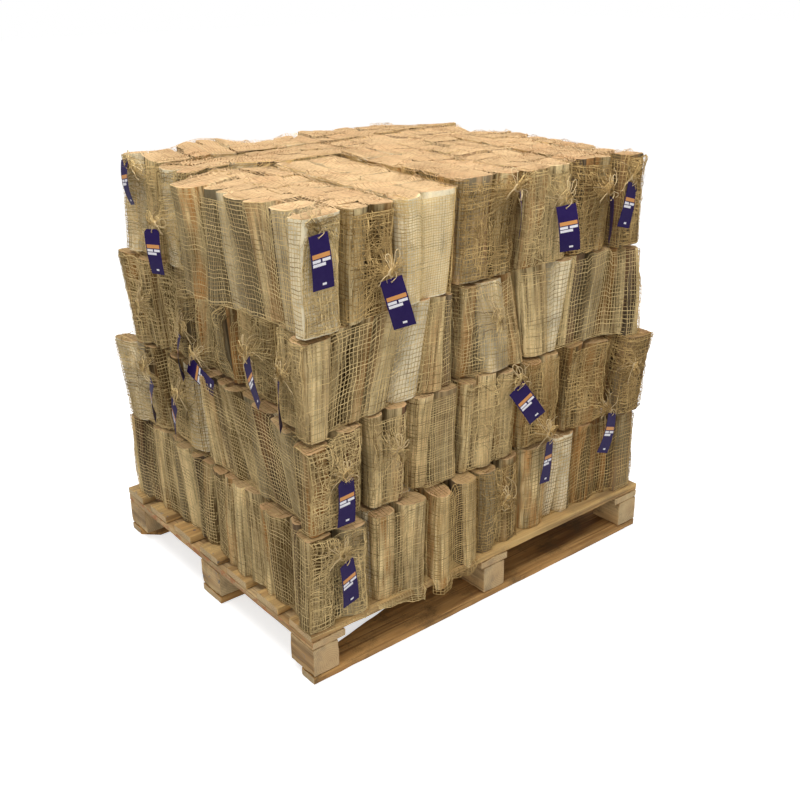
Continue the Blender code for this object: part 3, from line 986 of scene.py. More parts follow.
class EffectGroup(NodeBoard):
    """A shader node group with named sockets, for an effect that several finishes use."""

    KINDS = {"Grain": "Vector", "Place": "Vector", "Color": "Color", "Dark": "Color", "Pale": "Color",
             "Warm": "Color", "Dirt": "Color"}

    def __init__(self, name: str, inputs: Sequence[str], outputs: Sequence[str]) -> None:
        """Make the group and its sockets, which hold numbers unless KINDS says otherwise.

        Args:
            name: The group's name.
            inputs: The names of its inputs.
            outputs: The names of its outputs.
        """
        super().__init__(bpy.data.node_groups.new(name, "ShaderNodeTree"))
        for way, labels in (("INPUT", inputs), ("OUTPUT", outputs)):
            for label in labels:
                kind = "NodeSocket" + self.KINDS.get(label, "Float")
                self.tree.interface.new_socket(name=label, in_out=way, socket_type=kind)
        self.given = self.tree.nodes.new("NodeGroupInput").outputs
        self.wanted = self.tree.nodes.new("NodeGroupOutput").inputs

    def give(self, **outputs: bpy.types.NodeSocket) -> bpy.types.NodeTree:
        """Send values out of the finished group."""
        for label, socket in outputs.items():
            self.tree.links.new(socket, self.wanted[label])
        return self.tree


def build_wood_fibre() -> bpy.types.NodeTree:
    """Split or sawn wood seen along its fibres: streaks, slow colour changes, fine checks."""
    group = EffectGroup("wood_fibre", ("Grain", "Tone", "Warmth", "Streak Scale", "Dark", "Pale", "Warm"),
                        ("Color", "Height", "Roughness"))
    given = group.given
    scaled = group.add("ShaderNodeVectorMath", {0: given["Grain"], "Scale": given["Streak Scale"]},
                       operation="SCALE").outputs[0]
    streaks = group.ramp(group.noise(group.stretched(scaled, 1.0, 1.0, 0.045), 110.0, 4.0, 0.6), 0.36, 0.64)
    fine_fibres = group.noise(group.stretched(scaled, 1.0, 1.0, 0.03), 420.0, 2.0, 0.5)
    clouds = group.ramp(group.noise(group.stretched(scaled, 1.0, 1.0, 0.18), 22.0, 2.0, 0.5), 0.36, 0.64)
    stains = group.ramp(group.noise(group.stretched(scaled, 1.0, 1.0, 0.15), 30.0, 3.0, 0.6), 0.42, 0.66)
    checks = group.ramp(group.noise(group.stretched(scaled, 1.0, 1.0, 0.02), 190.0, 1.0, 0.4), 0.32, 0.38)
    tone = group.swayed(group.swayed(given["Tone"], clouds, 0.52), streaks, 0.52)
    colour = group.mix(group.swayed(tone, fine_fibres, 0.5, True), given["Dark"], given["Pale"])
    colour = group.mix(group.times(given["Warmth"], stains, True), colour, given["Warm"])
    colour = group.mix(checks, group.mix(0.65, colour, given["Dark"]), colour)
    height = group.maths("ADD", group.times(streaks, 0.6), group.times(fine_fibres, 0.4))
    height = group.maths("ADD", height, group.times(checks, 0.5))
    roughness = group.maths("ADD", 0.62, group.times(streaks, 0.22))
    return group.give(Color=colour, Height=height, Roughness=roughness)


def build_growth_rings() -> bpy.types.NodeTree:
    """Sawn end grain: growth rings round the pith, a dark heart, and the saw's marks."""
    group = EffectGroup(
        "growth_rings", ("Grain", "Ring Scale", "Contrast", "Tone", "Warmth", "Dark", "Pale", "Warm"),
        ("Color", "Height"))
    given = group.given
    grain = given["Grain"]
    flat = group.stretched(grain, 1.0, 1.0, 0.0)
    distance = group.add("ShaderNodeVectorMath", {0: flat}, operation="LENGTH").outputs["Value"]
    distance = group.maths("ADD", distance, group.times(group.noise(grain, 22.0, 2.0, 0.5), 0.010))
    rings = group.maths("POWER", group.maths("FRACT", group.times(distance, given["Ring Scale"])), 3.0)
    saw = group.noise(group.stretched(grain, 1.0, 0.06, 0.3), 520.0, 2.0, 0.5)
    tone = group.swayed(group.swayed(given["Tone"], group.noise(grain, 34.0, 3.0, 0.6), 0.7), saw, 0.25)
    tone = group.maths("SUBTRACT", tone, group.times(rings, given["Contrast"]), True)
    heart = group.times(given["Warmth"], group.ramp(distance, 0.085, 0.03), True)
    colour = group.mix(heart, group.mix(tone, given["Dark"], given["Pale"]), given["Warm"])
    pores = group.noise(grain, 900.0, 1.0, 0.5)
    return group.give(Color=colour, Height=group.maths("ADD", group.times(saw, 0.5), group.times(pores, 0.5)))


def build_weathering() -> bpy.types.NodeTree:
    """Dust, damp and handling marks over any surface, in soft patches with speckled rims."""
    group = EffectGroup("weathering", ("Color", "Place", "Amount", "Patch Scale", "Dirt"), ("Color",))
    given = group.given
    patches = group.noise(given["Place"], given["Patch Scale"], 5.0, 0.65)
    patches = group.swayed(patches, group.noise(given["Place"], 260.0, 2.0, 0.6), 0.3)
    mask = group.times(group.ramp(patches, 0.46, 0.68), given["Amount"], True)
    return group.give(Color=group.mix(mask, given["Color"], given["Dirt"]))


def build_jute_twist() -> bpy.types.NodeTree:
    """Jute yarn: light and dark fibres, slow changes from thread to thread."""
    group = EffectGroup("jute_twist", ("Place", "Tone", "Dark", "Pale"), ("Color", "Height"))
    given = group.given
    fibres = group.noise(given["Place"], 950.0, 2.0, 0.6)
    tone = group.swayed(given["Tone"], group.noise(given["Place"], 9.0, 3.0, 0.6), 1.3)
    tone = group.swayed(tone, fibres, 0.55, True)
    return group.give(Color=group.mix(tone, given["Dark"], given["Pale"]), Height=fibres)


class EffectShelf:
    """The shared effects, each built once and placed in each material with its own values."""

    def __init__(self) -> None:
        """Build every group."""
        self.wood_fibre = build_wood_fibre()
        self.growth_rings = build_growth_rings()
        self.weathering = build_weathering()
        self.jute_twist = build_jute_twist()


class Finish(NodeBoard):
    """A material under way: its shader, its tree, and the shared effects at hand."""

    def __init__(self, name: str, shelf: EffectShelf, roughness: float = 0.75, specular: float = 0.3) -> None:
        """Start a material.

        Args:
            name: Its name.
            shelf: The shared effects.
            roughness: Its roughness where nothing changes it.
            specular: Its specular level.
        """
        self.material = bpy.data.materials.new(name)
        self.material.use_nodes = True
        super().__init__(self.material.node_tree)
        self.shader = self.tree.nodes["Principled BSDF"]
        self.shader.inputs["Roughness"].default_value = roughness
        self.shader.inputs["Specular IOR Level"].default_value = specular
        self.shelf = shelf

    def value_of(self, name: str, output: str = "Vector") -> bpy.types.NodeSocket:
        """A mesh attribute's output."""
        return self.add("ShaderNodeAttribute", attribute_name=name).outputs[output]

    def place(self) -> bpy.types.NodeSocket:
        """The surface's place in the object."""
        return self.add("ShaderNodeTexCoord").outputs["Object"]

    def effect(self, tree: bpy.types.NodeTree, inputs: dict) -> Sequence[bpy.types.NodeSocket]:
        """The outputs of a shared effect, placed with its own values."""
        return self.add("ShaderNodeGroup", inputs, node_tree=tree).outputs

    def wood(self, tree: bpy.types.NodeTree, look: object, inputs: dict) -> Sequence[bpy.types.NodeSocket]:
        """The outputs of one of the two wood effects, in the three colours of a finish.

        Args:
            tree: The effect.
            look: The finish that has the colours.
            inputs: The effect's other inputs.

        Returns:
            The outputs.
        """
        colours = {"Grain": self.value_of("grain"), "Dark": look.dark, "Pale": look.pale, "Warm": look.warm}
        return self.effect(tree, {**colours, **inputs})

    def worn(self, colour: Given, place: Given, amount: float, patch_scale: float,
             dirt: Colour) -> bpy.types.NodeSocket:
        """A colour under the shared weathering.

        Args:
            colour: The colour.
            place: The surface's place.
            amount: How much of the dirt shows.
            patch_scale: How small its patches are.
            dirt: The dirt's colour.

        Returns:
            The weathered colour.
        """
        return self.effect(self.shelf.weathering, {"Color": colour, "Place": place, "Amount": amount,
                                                   "Patch Scale": patch_scale, "Dirt": dirt})["Color"]

    def finish(self, colour: Given, height: Given, depth: float,
               roughness: Optional[Given] = None) -> bpy.types.Material:
        """Feed the shader.

        Args:
            colour: The base colour.
            height: The bump's height.
            depth: The bump's depth in metres.
            roughness: The roughness, if it changes over the surface.

        Returns:
            The material.
        """
        bump = self.add("ShaderNodeBump", {"Height": height, "Strength": 0.9, "Distance": depth})
        self.feed(self.shader.inputs["Base Color"], colour)
        self.feed(self.shader.inputs["Normal"], bump.outputs[0])
        if roughness is not None:
            self.feed(self.shader.inputs["Roughness"], roughness)
        return self.material


@dataclass(frozen=True)
class SplitWood:
    """The split faces of a log."""

    dark: Colour = (0.098, 0.060, 0.021)
    pale: Colour = (0.860, 0.668, 0.342)
    warm: Colour = (0.450, 0.210, 0.060)
    dirt: Colour = (0.105, 0.072, 0.028)
    grey: Colour = (0.170, 0.140, 0.085)
    bleached: Colour = (0.960, 0.850, 0.590)

    def material(self, shelf: EffectShelf) -> bpy.types.Material:
        """Build the material."""
        finish = Finish("split_log_wood", shelf, specular=0.12)
        tone, warmth, age = finish.add("ShaderNodeSeparateXYZ", {0: finish.value_of("look")}).outputs
        fibre = finish.wood(shelf.wood_fibre, self, {"Tone": tone, "Warmth": warmth, "Streak Scale": 1.0})
        colour = finish.mix(finish.times(finish.ramp(age, 0.30, 0.10), 0.65), fibre["Color"], self.grey)
        colour = finish.mix(finish.times(finish.ramp(age, 0.84, 0.95), 0.82), colour, self.bleached)
        colour = finish.worn(colour, finish.place(), 0.35, 16.0, self.dirt)
        return finish.finish(colour, fibre["Height"], 0.0016, fibre["Roughness"])


@dataclass(frozen=True)
class SawnEnd:
    """The sawn end of a log."""

    dark: Colour = (0.380, 0.230, 0.100)
    pale: Colour = (0.690, 0.500, 0.268)
    warm: Colour = (0.560, 0.270, 0.120)
    dirt: Colour = (0.330, 0.215, 0.105)

    def material(self, shelf: EffectShelf) -> bpy.types.Material:
        """Build the material."""
        finish = Finish("sawn_log_end", shelf, 0.8)
        tone, warmth, _ = finish.add("ShaderNodeSeparateXYZ", {0: finish.value_of("look")}).outputs
        tone, warmth = finish.maths("ADD", finish.times(tone, 0.45), 0.50), finish.times(warmth, 0.35)
        rings = finish.wood(shelf.growth_rings, self, {
            "Ring Scale": 330.0, "Contrast": 0.22, "Tone": tone, "Warmth": warmth})
        colour = finish.worn(rings["Color"], finish.place(), 0.30, 24.0, self.dirt)
        return finish.finish(colour, rings["Height"], 0.0008)


@dataclass(frozen=True)
class LogBark:
    """Bark left on a log's outer side."""

    dark: Colour = (0.055, 0.038, 0.022)
    pale: Colour = (0.260, 0.190, 0.110)
    warm: Colour = (0.300, 0.130, 0.050)

    def material(self, shelf: EffectShelf) -> bpy.types.Material:
        """Build the material."""
        finish = Finish("log_bark", shelf, 0.9, 0.15)
        fibre = finish.wood(shelf.wood_fibre, self, {"Tone": 0.42, "Warmth": 0.5, "Streak Scale": 0.6})
        plates = finish.noise(finish.stretched(finish.value_of("grain"), 1.0, 1.0, 0.4), 90.0, 4.0, 0.7)
        return finish.finish(fibre["Color"], plates, 0.004)


@dataclass(frozen=True)
class Jute:
    """Jute thread, for the nets and for the twine."""

    name: str
    dark: Colour
    pale: Colour

    def material(self, shelf: EffectShelf) -> bpy.types.Material:
        """Build the material."""
        finish = Finish(self.name, shelf, 0.9, 0.15)
        yarn = finish.effect(shelf.jute_twist, {
            "Place": finish.place(), "Tone": finish.value_of("tone", "Fac"),
            "Dark": self.dark, "Pale": self.pale})
        return finish.finish(yarn["Color"], yarn["Height"], 0.0004)


@dataclass(frozen=True)
class TagCard:
    """A printed card colour, a little scuffed."""

    name: str
    colour: Colour
    scuff: Colour
    specular: float = 0.3

    def material(self, shelf: EffectShelf) -> bpy.types.Material:
        """Build the material."""
        finish = Finish(self.name, shelf, 0.5, self.specular)
        place = finish.place()
        base = finish.mix(finish.times(finish.noise(place, 60.0, 3.0, 0.6), 0.30), self.colour, self.scuff)
        colour = finish.worn(base, place, 0.18, 70.0, self.scuff)
        return finish.finish(colour, finish.noise(place, 1400.0, 2.0, 0.5), 0.0001)


@dataclass(frozen=True)
class PaintTrace:
    """Old paint that clings to some places of a board.

    axis and below say where: on the side of the board below that coordinate. cover is how much of
    that side it covers.
    """

    colour: Colour
    axis: int
    below: float
    cover: float


@dataclass(frozen=True)
class PalletWood:
    """Sawn softwood of the pallet, weathered, with traces of paint, and darker on the skids partly as painted
    shade.
    """

    name: str
    tone: float = 0.62
    dark: Colour = (0.230, 0.135, 0.055)
    pale: Colour = (0.640, 0.465, 0.240)
    warm: Colour = (0.500, 0.260, 0.080)
    dirt: Colour = (0.190, 0.130, 0.065)
    dirt_and_shade_amount: float = 0.45
    paints: tuple[PaintTrace, ...] = ()

    def material(self, shelf: EffectShelf) -> bpy.types.Material:
        """Build the material."""
        finish = Finish(self.name, shelf, 0.8, 0.2)
        place = finish.place()
        fibre = finish.wood(shelf.wood_fibre, self, {"Tone": self.tone, "Warmth": 0.4, "Streak Scale": 0.55})
        colour = finish.worn(fibre["Color"], place, self.dirt_and_shade_amount, 9.0, self.dirt)
        for number, paint in enumerate(self.paints):
            flakes = finish.noise(finish.stretched(place, 1.0, 1.0, 1.7), 34.0 + 9.0 * number, 5.0, 0.7)
            rubbed = finish.ramp(flakes, 1.0 - paint.cover, 1.12 - paint.cover)
            axis = finish.add("ShaderNodeSeparateXYZ", {0: place}).outputs[paint.axis]
            near = finish.maths("LESS_THAN", axis, paint.below)
            colour = finish.mix(finish.times(rubbed, near), colour, paint.colour)
        return finish.finish(colour, fibre["Height"], 0.0014, fibre["Roughness"])


@dataclass(frozen=True)
class PalletEnd:
    """End grain of the pallet's boards and blocks."""

    dark: Colour = (0.290, 0.180, 0.085)
    pale: Colour = (0.640, 0.485, 0.265)
    warm: Colour = (0.50, 0.28, 0.12)
    dirt: Colour = (0.22, 0.17, 0.11)

    def material(self, shelf: EffectShelf) -> bpy.types.Material:
        """Build the material."""
        finish = Finish("pallet_end_grain", shelf, 0.85, 0.2)
        rings = finish.wood(shelf.growth_rings, self, {
            "Ring Scale": 170.0, "Contrast": 0.45, "Tone": 0.75, "Warmth": 0.3})
        colour = finish.worn(rings["Color"], finish.place(), 0.5, 14.0, self.dirt)
        return finish.finish(colour, rings["Height"], 0.0010)


@dataclass(frozen=True)
class RustySteel:
    """Nail heads, dull and spotted with rust."""

    steel: Colour = (0.20, 0.17, 0.15)
    rust: Colour = (0.16, 0.065, 0.025)

    def material(self, shelf: EffectShelf) -> bpy.types.Material:
        """Build the material."""
        finish = Finish("nail_head_steel", shelf, 0.6, 0.4)
        finish.shader.inputs["Metallic"].default_value = 0.6
        place = finish.place()
        colour = finish.worn(self.steel, place, 0.9, 300.0, self.rust)
        return finish.finish(colour, finish.noise(place, 700.0, 3.0, 0.6), 0.0003)


class Wardrobe:
    """Every material of the object, built once."""

    NETS = (Jute("jute_net_thread", (0.150, 0.090, 0.028), (0.740, 0.550, 0.255)),
            Jute("golden_net_thread", (0.145, 0.080, 0.022), (0.640, 0.440, 0.180)),
            # The top net's threads are browner than the others: painted shade of the round threads and of
            # their shadows on the log tops.
            Jute("top_net_thread", (0.215, 0.120, 0.048), (0.520, 0.355, 0.190)),
            Jute("jute_twine", (0.300, 0.200, 0.090), (0.700, 0.540, 0.300)))
    CARDS = (TagCard("tag_indigo_card", (0.014, 0.005, 0.062), (0.034, 0.021, 0.100), 0.14),
             TagCard("tag_orange_band", (0.620, 0.270, 0.070), (0.480, 0.240, 0.100)),
             TagCard("tag_pale_bars", (0.800, 0.780, 0.780), (0.420, 0.400, 0.520)))
    RED = PaintTrace((0.400, 0.175, 0.070), 0, -0.5985, 0.54)
    BLUE = PaintTrace((0.105, 0.138, 0.175), 0, -0.590, 0.42)
    PINK = PaintTrace((0.500, 0.180, 0.110), 1, -0.4985, 0.40)
    BOARDS = {
        "deck_board": PalletWood("deck_board_wood", 0.60, pale=(0.650, 0.430, 0.170), paints=(BLUE,)),
        "stringer_board": PalletWood("stringer_board_wood", 0.60, paints=(RED, PINK)),
        # The skids get a darker copy of this wood with heavier dirt: partly their own grime, partly painted
        # shade, as they lie in shadow under the deck.
        "skid_board": PalletWood("skid_board_wood_shaded", 0.34, (0.160, 0.072, 0.020), (0.600, 0.345, 0.125),
                                 dirt=(0.120, 0.072, 0.028), dirt_and_shade_amount=0.8),
        "block": PalletWood("block_wood", 0.58, dirt_and_shade_amount=0.6, paints=(BLUE,)),
    }

    def __init__(self) -> None:
        """Build them all."""
        shelf = EffectShelf()
        self.log_set = [look.material(shelf) for look in (SplitWood(), SawnEnd(), LogBark())]
        self.net, self.golden_net, self.top_net, self.twine = (look.material(shelf) for look in self.NETS)
        self.tag_set = [look.material(shelf) for look in self.CARDS]
        self.boards = {kind: look.material(shelf) for kind, look in self.BOARDS.items()}
        self.end_grain = PalletEnd().material(shelf)
        self.nail = RustySteel().material(shelf)


class LogPile:
    """The split logs of one bag, each from a cell of the solid."""

    def __init__(self, bag: BagLayout) -> None:
        """Make the logs' meshes."""
        self.bag = bag
        self.rng = np.random.default_rng(bag.seed(0, 17, 1000))
        self.gap_rng = np.random.default_rng(6000 + 100 * bag.layer_index + bag.number + ord(bag.block.along))
        self.draft = MeshDraft()
        self.spots: list[np.ndarray] = []
        for ring, height in zip(bag.rings, bag.heights):
            outline = np.array([bag.seen[key] for key in ring])
            outer = bool(bag.depth_inside(bag.place(*outline.mean(0), height)) < OUTER_REACH)
            parts = self.split(outline) if outer or bag.topmost else [outline]
            levels = OUTER_LEVELS if outer else TOP_LEVELS if bag.topmost else INNER_LEVELS
            for part in parts:
                self.add_log(part, bag.log_length(height), levels)
        self.spots = np.concatenate(self.spots)

    def split(self, outline: np.ndarray) -> list[np.ndarray]:
        """Cut a cell that is long for one log in two.

        Args:
            outline: The cell's corners.

        Returns:
            The corners of its parts.
        """
        low, high = outline[:, 0].min(), outline[:, 0].max()
        if high - low < SPLIT_LENGTH:
            return [outline]
        cut = between(low, high, self.rng.uniform(0.38, 0.62))
        slope = self.rng.uniform(-0.25, 0.25)
        side = outline[:, 0] - cut - slope * (outline[:, 1] - outline[:, 1].mean())
        return [np.array(kept_part(outline, way)) for way in (side, -side)]

    def add_log(self, outline: np.ndarray, height: float, levels: int) -> None:
        """Add one log: split sides from foot to top, and both sawn ends.

        Args:
            outline: Its outline in the bag's plan.
            height: Its length.
            levels: How many rings of points it has.
        """
        bag, rng = self.bag, self.rng
        fine, outer = levels > INNER_LEVELS, levels == OUTER_LEVELS
        sides = OUTER_SIDES if fine else INNER_SIDES
        touched = self.touched(outline)
        at_corner = len(touched) > 1
        ring = self.rounded(outline, sides, 1 if at_corner else int(rng.integers(1, 8)) if outer else 2)
        centre = ring.mean(0)
        angle = rng.normal(0.0, LOG_TURN)
        turn = np.array(((math.cos(angle), math.sin(angle)), (-math.sin(angle), math.cos(angle))))
        arms = (ring - centre) @ turn
        size = float(np.linalg.norm(arms, axis=1).mean())
        rise = np.linspace(0.0, 1.0, levels)[:, None, None]
        top_gap = TOP_GAP + max(0.0, float(self.gap_rng.uniform(-0.0030, 0.0042))) if bag.topmost else TOP_GAP
        gap = between(LOG_GAP, top_gap, rise ** 3) if outer and bag.topmost else LOG_GAP if outer else top_gap
        narrowing = self.taper(rise) if outer else 0.0
        scale = 1.0 - gap / size - (0.0 if at_corner else narrowing)
        shift, pinch = self.stand(touched)
        stray, lean = (OUTER_STRAY, OUTER_LEAN) if outer else (INNER_STRAY, INNER_LEAN)
        plan = centre + rng.normal(0.0, stray, 2) + shift + arms * pinch * scale
        plan = plan + (rise - 0.5) * rng.normal(0.0, lean, 2) * (0.25 if at_corner else 1.0)
        plan = plan + np.sin(rise * math.pi) * rng.normal(0.0, LOG_BEND, 2)
        relief = self.relief(levels, sides) if fine else np.zeros((levels, sides))
        plan = plan + unit(arms) * relief[..., None]
        room = float(np.abs(shift).max()) if at_corner else 0.0
        for axis, (low, high) in enumerate(self.limits()):
            plan[..., axis] = np.clip(plan[..., axis], low - room, high + room)
        rises = np.broadcast_to(rise * height, (levels, sides, 1))
        self.spots.append(np.concatenate([plan, rises], -1).reshape(-1, 3))
        rings = bag.place(plan[..., 0], plan[..., 1], rises[..., 0])
        rings[0, :, 2] += TOUCH_GAP
        if max(bag.look.hang):
            beyond = np.clip((-0.0005 - rings[..., 1]) / 0.005, 0.0, 1.0)
            hang = between(*bag.look.hang, np.clip(plan[..., 1] / bag.width, 0.0, 1.0))
            rings[..., 2] -= hang * beyond * (1.0 - rise[..., 0])
        middles = rings.mean(1, keepdims=True)
        if fine:
            flat = rings[-1, :, :2] - rings[-1, :, :2].mean(0)
            tilt = flat @ rng.normal(0.0, 0.030, 2)
            rings[-1, :, 2] += tilt - tilt.max()
        pale_bag = bag.look.tone > PALE_TONE
        tone = bag.look.tone - 0.05 + rng.normal(0.0, 0.10 if pale_bag else 0.29)
        tone = float(np.clip(tone, 0.02, 1.0))
        warmth = float(np.clip(bag.look.warmth + rng.normal(0.0, 0.30), 0.0, 1.0))
        look = np.zeros((levels, sides, 3))
        look[..., 0] = np.clip(tone + 0.20 * smooth_noise(rng, (levels, sides), (1, 5), True), 0.0, 1.0)
        bleached = pale_bag or (at_corner and bag.look.pale_corner)
        look[..., 1:] = warmth, 1.0 if bleached else rng.uniform()
        grain = (rings - middles).reshape(-1, 3)
        grain[:, 2] = rings[..., 2].ravel()
        grain = grain + rng.uniform(-5.0, 5.0, 3)
        faces = ring_faces(levels, sides)
        column = np.tile(np.arange(sides), levels - 1)
        has_bark = fine and not pale_bag and rng.uniform() < BARK_CHANCE
        bark_span = sides * rng.uniform(0.15, 0.35) if has_bark else 0
        barked = (column - rng.integers(sides)) % sides < bark_span
        self.draft.add(rings.reshape(-1, 3), [faces[~barked]], 0, grain=grain, look=look.reshape(-1, 3))
        self.draft.faces.append((faces[barked] + self.draft.count - levels * sides, np.full(barked.sum(), 2)))
        pith = rng.uniform(0.02, 0.06) * unit(rng.normal(size=2))
        # Below the top layer both sawn ends get a much darker tone: painted shade on the ledges and under the
        # layer above.
        plain = np.array((tone if bag.topmost else tone - 0.75, warmth, rng.uniform()))
        self.add_end(rings[-1], False, plain, pith, fine)
        self.add_end(rings[0], True, plain, pith, False)

    @staticmethod
    def rounded(outline: np.ndarray, count: int, passes: int) -> np.ndarray:
        """Walk an outline in even steps, and round its corners without narrowing it.

        Args:
            outline: The outline's corners.
            count: How many steps there are.
            passes: How often the corners are rounded.

        Returns:
            The points, one for each step.
        """
        closed = np.concatenate([outline, outline[:1]])
        reach = np.concatenate(([0.0], np.cumsum(np.linalg.norm(np.diff(closed, axis=0), axis=1))))
        places = np.arange(count) / count * reach[-1]
        ring = np.stack([np.interp(places, reach, closed[:, axis]) for axis in (0, 1)], -1)
        low, high = ring.min(0), ring.max(0)
        for _ in range(passes):
            ring = (np.roll(ring, 1, 0) + 2 * ring + np.roll(ring, -1, 0)) / 4
        return low + (ring - ring.min(0)) * (high - low) / (ring.max(0) - ring.min(0))

    def touched(self, outline: np.ndarray) -> list[tuple[int, float]]:
        """The shown faces of the load that a log stands at: along or across, and which way."""
        found = []
        for axis, high in ((0, False), (0, True), (1, False), (1, True)):
            edge = self.bag.size[axis] if high else 0.0
            if self.bag.shows[axis][high] and np.abs(outline[:, axis] - edge).min() < AT_FACE:
                found.append((axis, 1.0 if high else -1.0))
        return found

    def stand(self, touched: list[tuple[int, float]]) -> tuple[np.ndarray, np.ndarray]:
        """How a log stands where it is seen: set back and narrowed on a side, out on a corner.

        Args:
            touched: The faces of the load that it stands at.

        Returns:
            How far it is shifted, and how it is narrowed.
        """
        bag = self.bag
        shift, pinch = np.zeros(2), np.ones(2)
        if len(touched) > 1:
            corner = bag.in_plan(*(size * max(way, 0.0) for size, (_, way) in zip(bag.size, touched)))
            for axis, way in touched:
                shift[axis] = (FRONT_CORNER_OUT if corner[1] < 0.3 else CORNER_OUT) * way
        elif touched:
            axis, way = touched[0]
            set_back = SET_BACK if bag.layer_index else 0.4 * SET_BACK
            shift[axis] = -way * self.rng.uniform(0.0, 1.0) * (0.0 if max(bag.look.hang) else set_back)
            pinch[1 - axis] -= self.rng.uniform(0.0, PINCH)
        return shift, pinch

    def limits(self) -> list[tuple[float, float]]:
        """How far logs may reach along and across: on to the bag's borders, and out a little."""
        inner = BAG_CLEARANCE if self.bag.topmost else -0.0008
        stray = [[LOG_STRAY if shows else inner for shows in pair] for pair in self.bag.shows]
        return [(-low, size + high) for (low, high), size in zip(stray, self.bag.size)]

    def taper(self, rise: np.ndarray) -> np.ndarray:
        """How much narrower some logs grow towards one end, as a share of their width."""
        if self.rng.uniform() > 0.6:
            return np.zeros_like(rise)
        narrow = self.rng.uniform(0.03, 0.18)
        return narrow * (rise if self.rng.uniform() < 0.5 else 1.0 - rise)

    def relief(self, levels: int, sides: int) -> np.ndarray:
        """The fibrous relief of the split faces, as a distance outward."""
        broad = smooth_noise(self.rng, (levels, sides), (2, 7), True) * 0.0024
        fibres = smooth_noise(self.rng, (levels, sides), (2, sides), True) * 0.0013
        return broad + fibres - 0.0006

    def add_end(self, ring: np.ndarray, under: bool, look: np.ndarray, pith: np.ndarray, fine: bool) -> None:
        """Add a sawn end, with an eased rim on the finer ones.

        Args:
            ring: The points round it.
            under: Whether it is the log's foot.
            look: Its tone, warmth and age.
            pith: How far its growth rings' middle lies from its own.
            fine: Whether it has a rim.
        """
        sides = len(ring)
        centre = ring.mean(0)
        arms = ring - centre
        inset = 1.0 - RIM_EASE / max(float(np.linalg.norm(arms, axis=1).mean()), 0.01)
        lift = UP * (-TOUCH_GAP if under else TOUCH_GAP)
        rings = [ring]
        if fine:
            rings += [centre + arms * inset + lift, centre + arms * 0.55 + lift]
            rings[-1][:, 2] += self.rng.normal(0.0, 0.0003, sides)
        points = np.concatenate([*rings, centre[None] + lift])
        faces = [ring_faces(len(rings), sides)] if fine else []
        faces.append(fan_faces((len(rings) - 1) * sides, sides, len(points) - 1, under))
        grain = points - np.array((*(centre[:2] + pith), 0.0))
        self.draft.add(points, faces, 1, grain=grain, look=np.tile(look, (len(points), 1)))

    def span(self, axis: int, heights: np.ndarray, near: Optional[float] = None) -> np.ndarray:
        """How far the logs reach at some heights: 0 is along the bag and 1 across it.

        Args:
            axis: The axis along which the reach is taken.
            heights: The heights above the bag's floor.
            near: The place on the other axis near which the logs count, or None for all of them.

        Returns:
            The lowest and the highest reach for each height.
        """
        spots = self.spots
        if near is not None:
            spots = spots[np.abs(spots[:, 1 - axis] - near) < NEAR_FACE]
        window = 0.5 * self.bag.plan.log_length / (OUTER_LEVELS - 1) + 0.006
        found = []
        for height in np.minimum(heights, self.bag.plan.log_length - 0.016):
            reach = spots[np.abs(spots[:, 2] - height) < window, axis]
            found.append((reach.min(), reach.max()) if len(reach) else (0.0, self.bag.size[axis]))
        return np.array(found)

    def tree(self) -> BVHTree:
        """The logs as a search tree, for laying the net on them."""
        points = np.concatenate(self.draft.points)
        corners = [face for faces, _ in self.draft.faces for face in faces.tolist()]
        return BVHTree.FromPolygons([tuple(p) for p in points.tolist()], corners)


@dataclass
class ThreadGrid:
    """A stretch of net as rows and columns of crossings.

    outward is the way off the logs at each crossing, kept says which crossings are there, and
    closed joins the last column to the first.
    """

    points: np.ndarray
    outward: np.ndarray
    kept: np.ndarray
    closed: bool = False

    def weave(self, draft: MeshDraft, rng: np.random.Generator, half_width: float, tone: float,
              finish: int = 0) -> None:
        """Add every thread as a flat ribbon that passes over and under the crossing ones.

        Args:
            draft: The mesh that it goes into.
            rng: The net's random numbers.
            half_width: Half a thread's width.
            tone: How pale the threads are.
            finish: The material's number.
        """
        for by_rows in (True, False):
            points, outward = (v if by_rows else v.transpose(1, 0, 2) for v in (self.points, self.outward))
            kept, closed = (self.kept, self.closed) if by_rows else (self.kept.T, False)
            count, length = kept.shape
            steps = np.roll(points, -1, 1) - np.roll(points, 1, 1) if closed else np.gradient(points, axis=1)
            across = unit(np.cross(outward, unit(steps)))
            checker = (np.add.outer(np.arange(count), np.arange(length)) % 2 * 2 - 1) * (1 if by_rows else -1)
            width = half_width * (1.0 + rng.uniform(-0.30, 0.30, (count, length)))
            middle = points + outward * (checker * OVER_UNDER)[..., None]
            pair = np.stack([middle - across * width[..., None], middle + across * width[..., None]], 2)
            start = np.arange(count * length).reshape(count, length) * 2
            following, joined = np.roll(start, -1, 1), kept & np.roll(kept, -1, 1)
            quads = np.stack([start, start + 1, following + 1, following], -1)
            if not closed:
                quads, joined = quads[:, :-1], joined[:, :-1]
            tones = tone + 0.22 * rng.normal(size=(count, 1)) + 0.05 * rng.normal(size=(count, length))
            draft.add(pair.reshape(-1, 3), [quads[joined]], finish, tone=np.repeat(tones.ravel(), 2))


def drape(reach: np.ndarray, slack: float) -> np.ndarray:
    """Lay a taut net over what it covers.

    Args:
        reach: How far what is covered stands out, at each crossing.
        slack: The share of a gap's depth that the net sinks into it.

    Returns:
        How far out the net lies.
    """
    cover = reach.copy()
    inner = (slice(1, -1), slice(1, -1))
    for _ in range(DRAPE_PASSES):
        pulled = 0.34 * (cover[1:-1, :-2] + cover[1:-1, 2:]) + 0.16 * (cover[:-2, 1:-1] + cover[2:, 1:-1])
        cover[inner] = np.maximum(reach[inner], pulled)
    return cover - slack * (cover - reach)


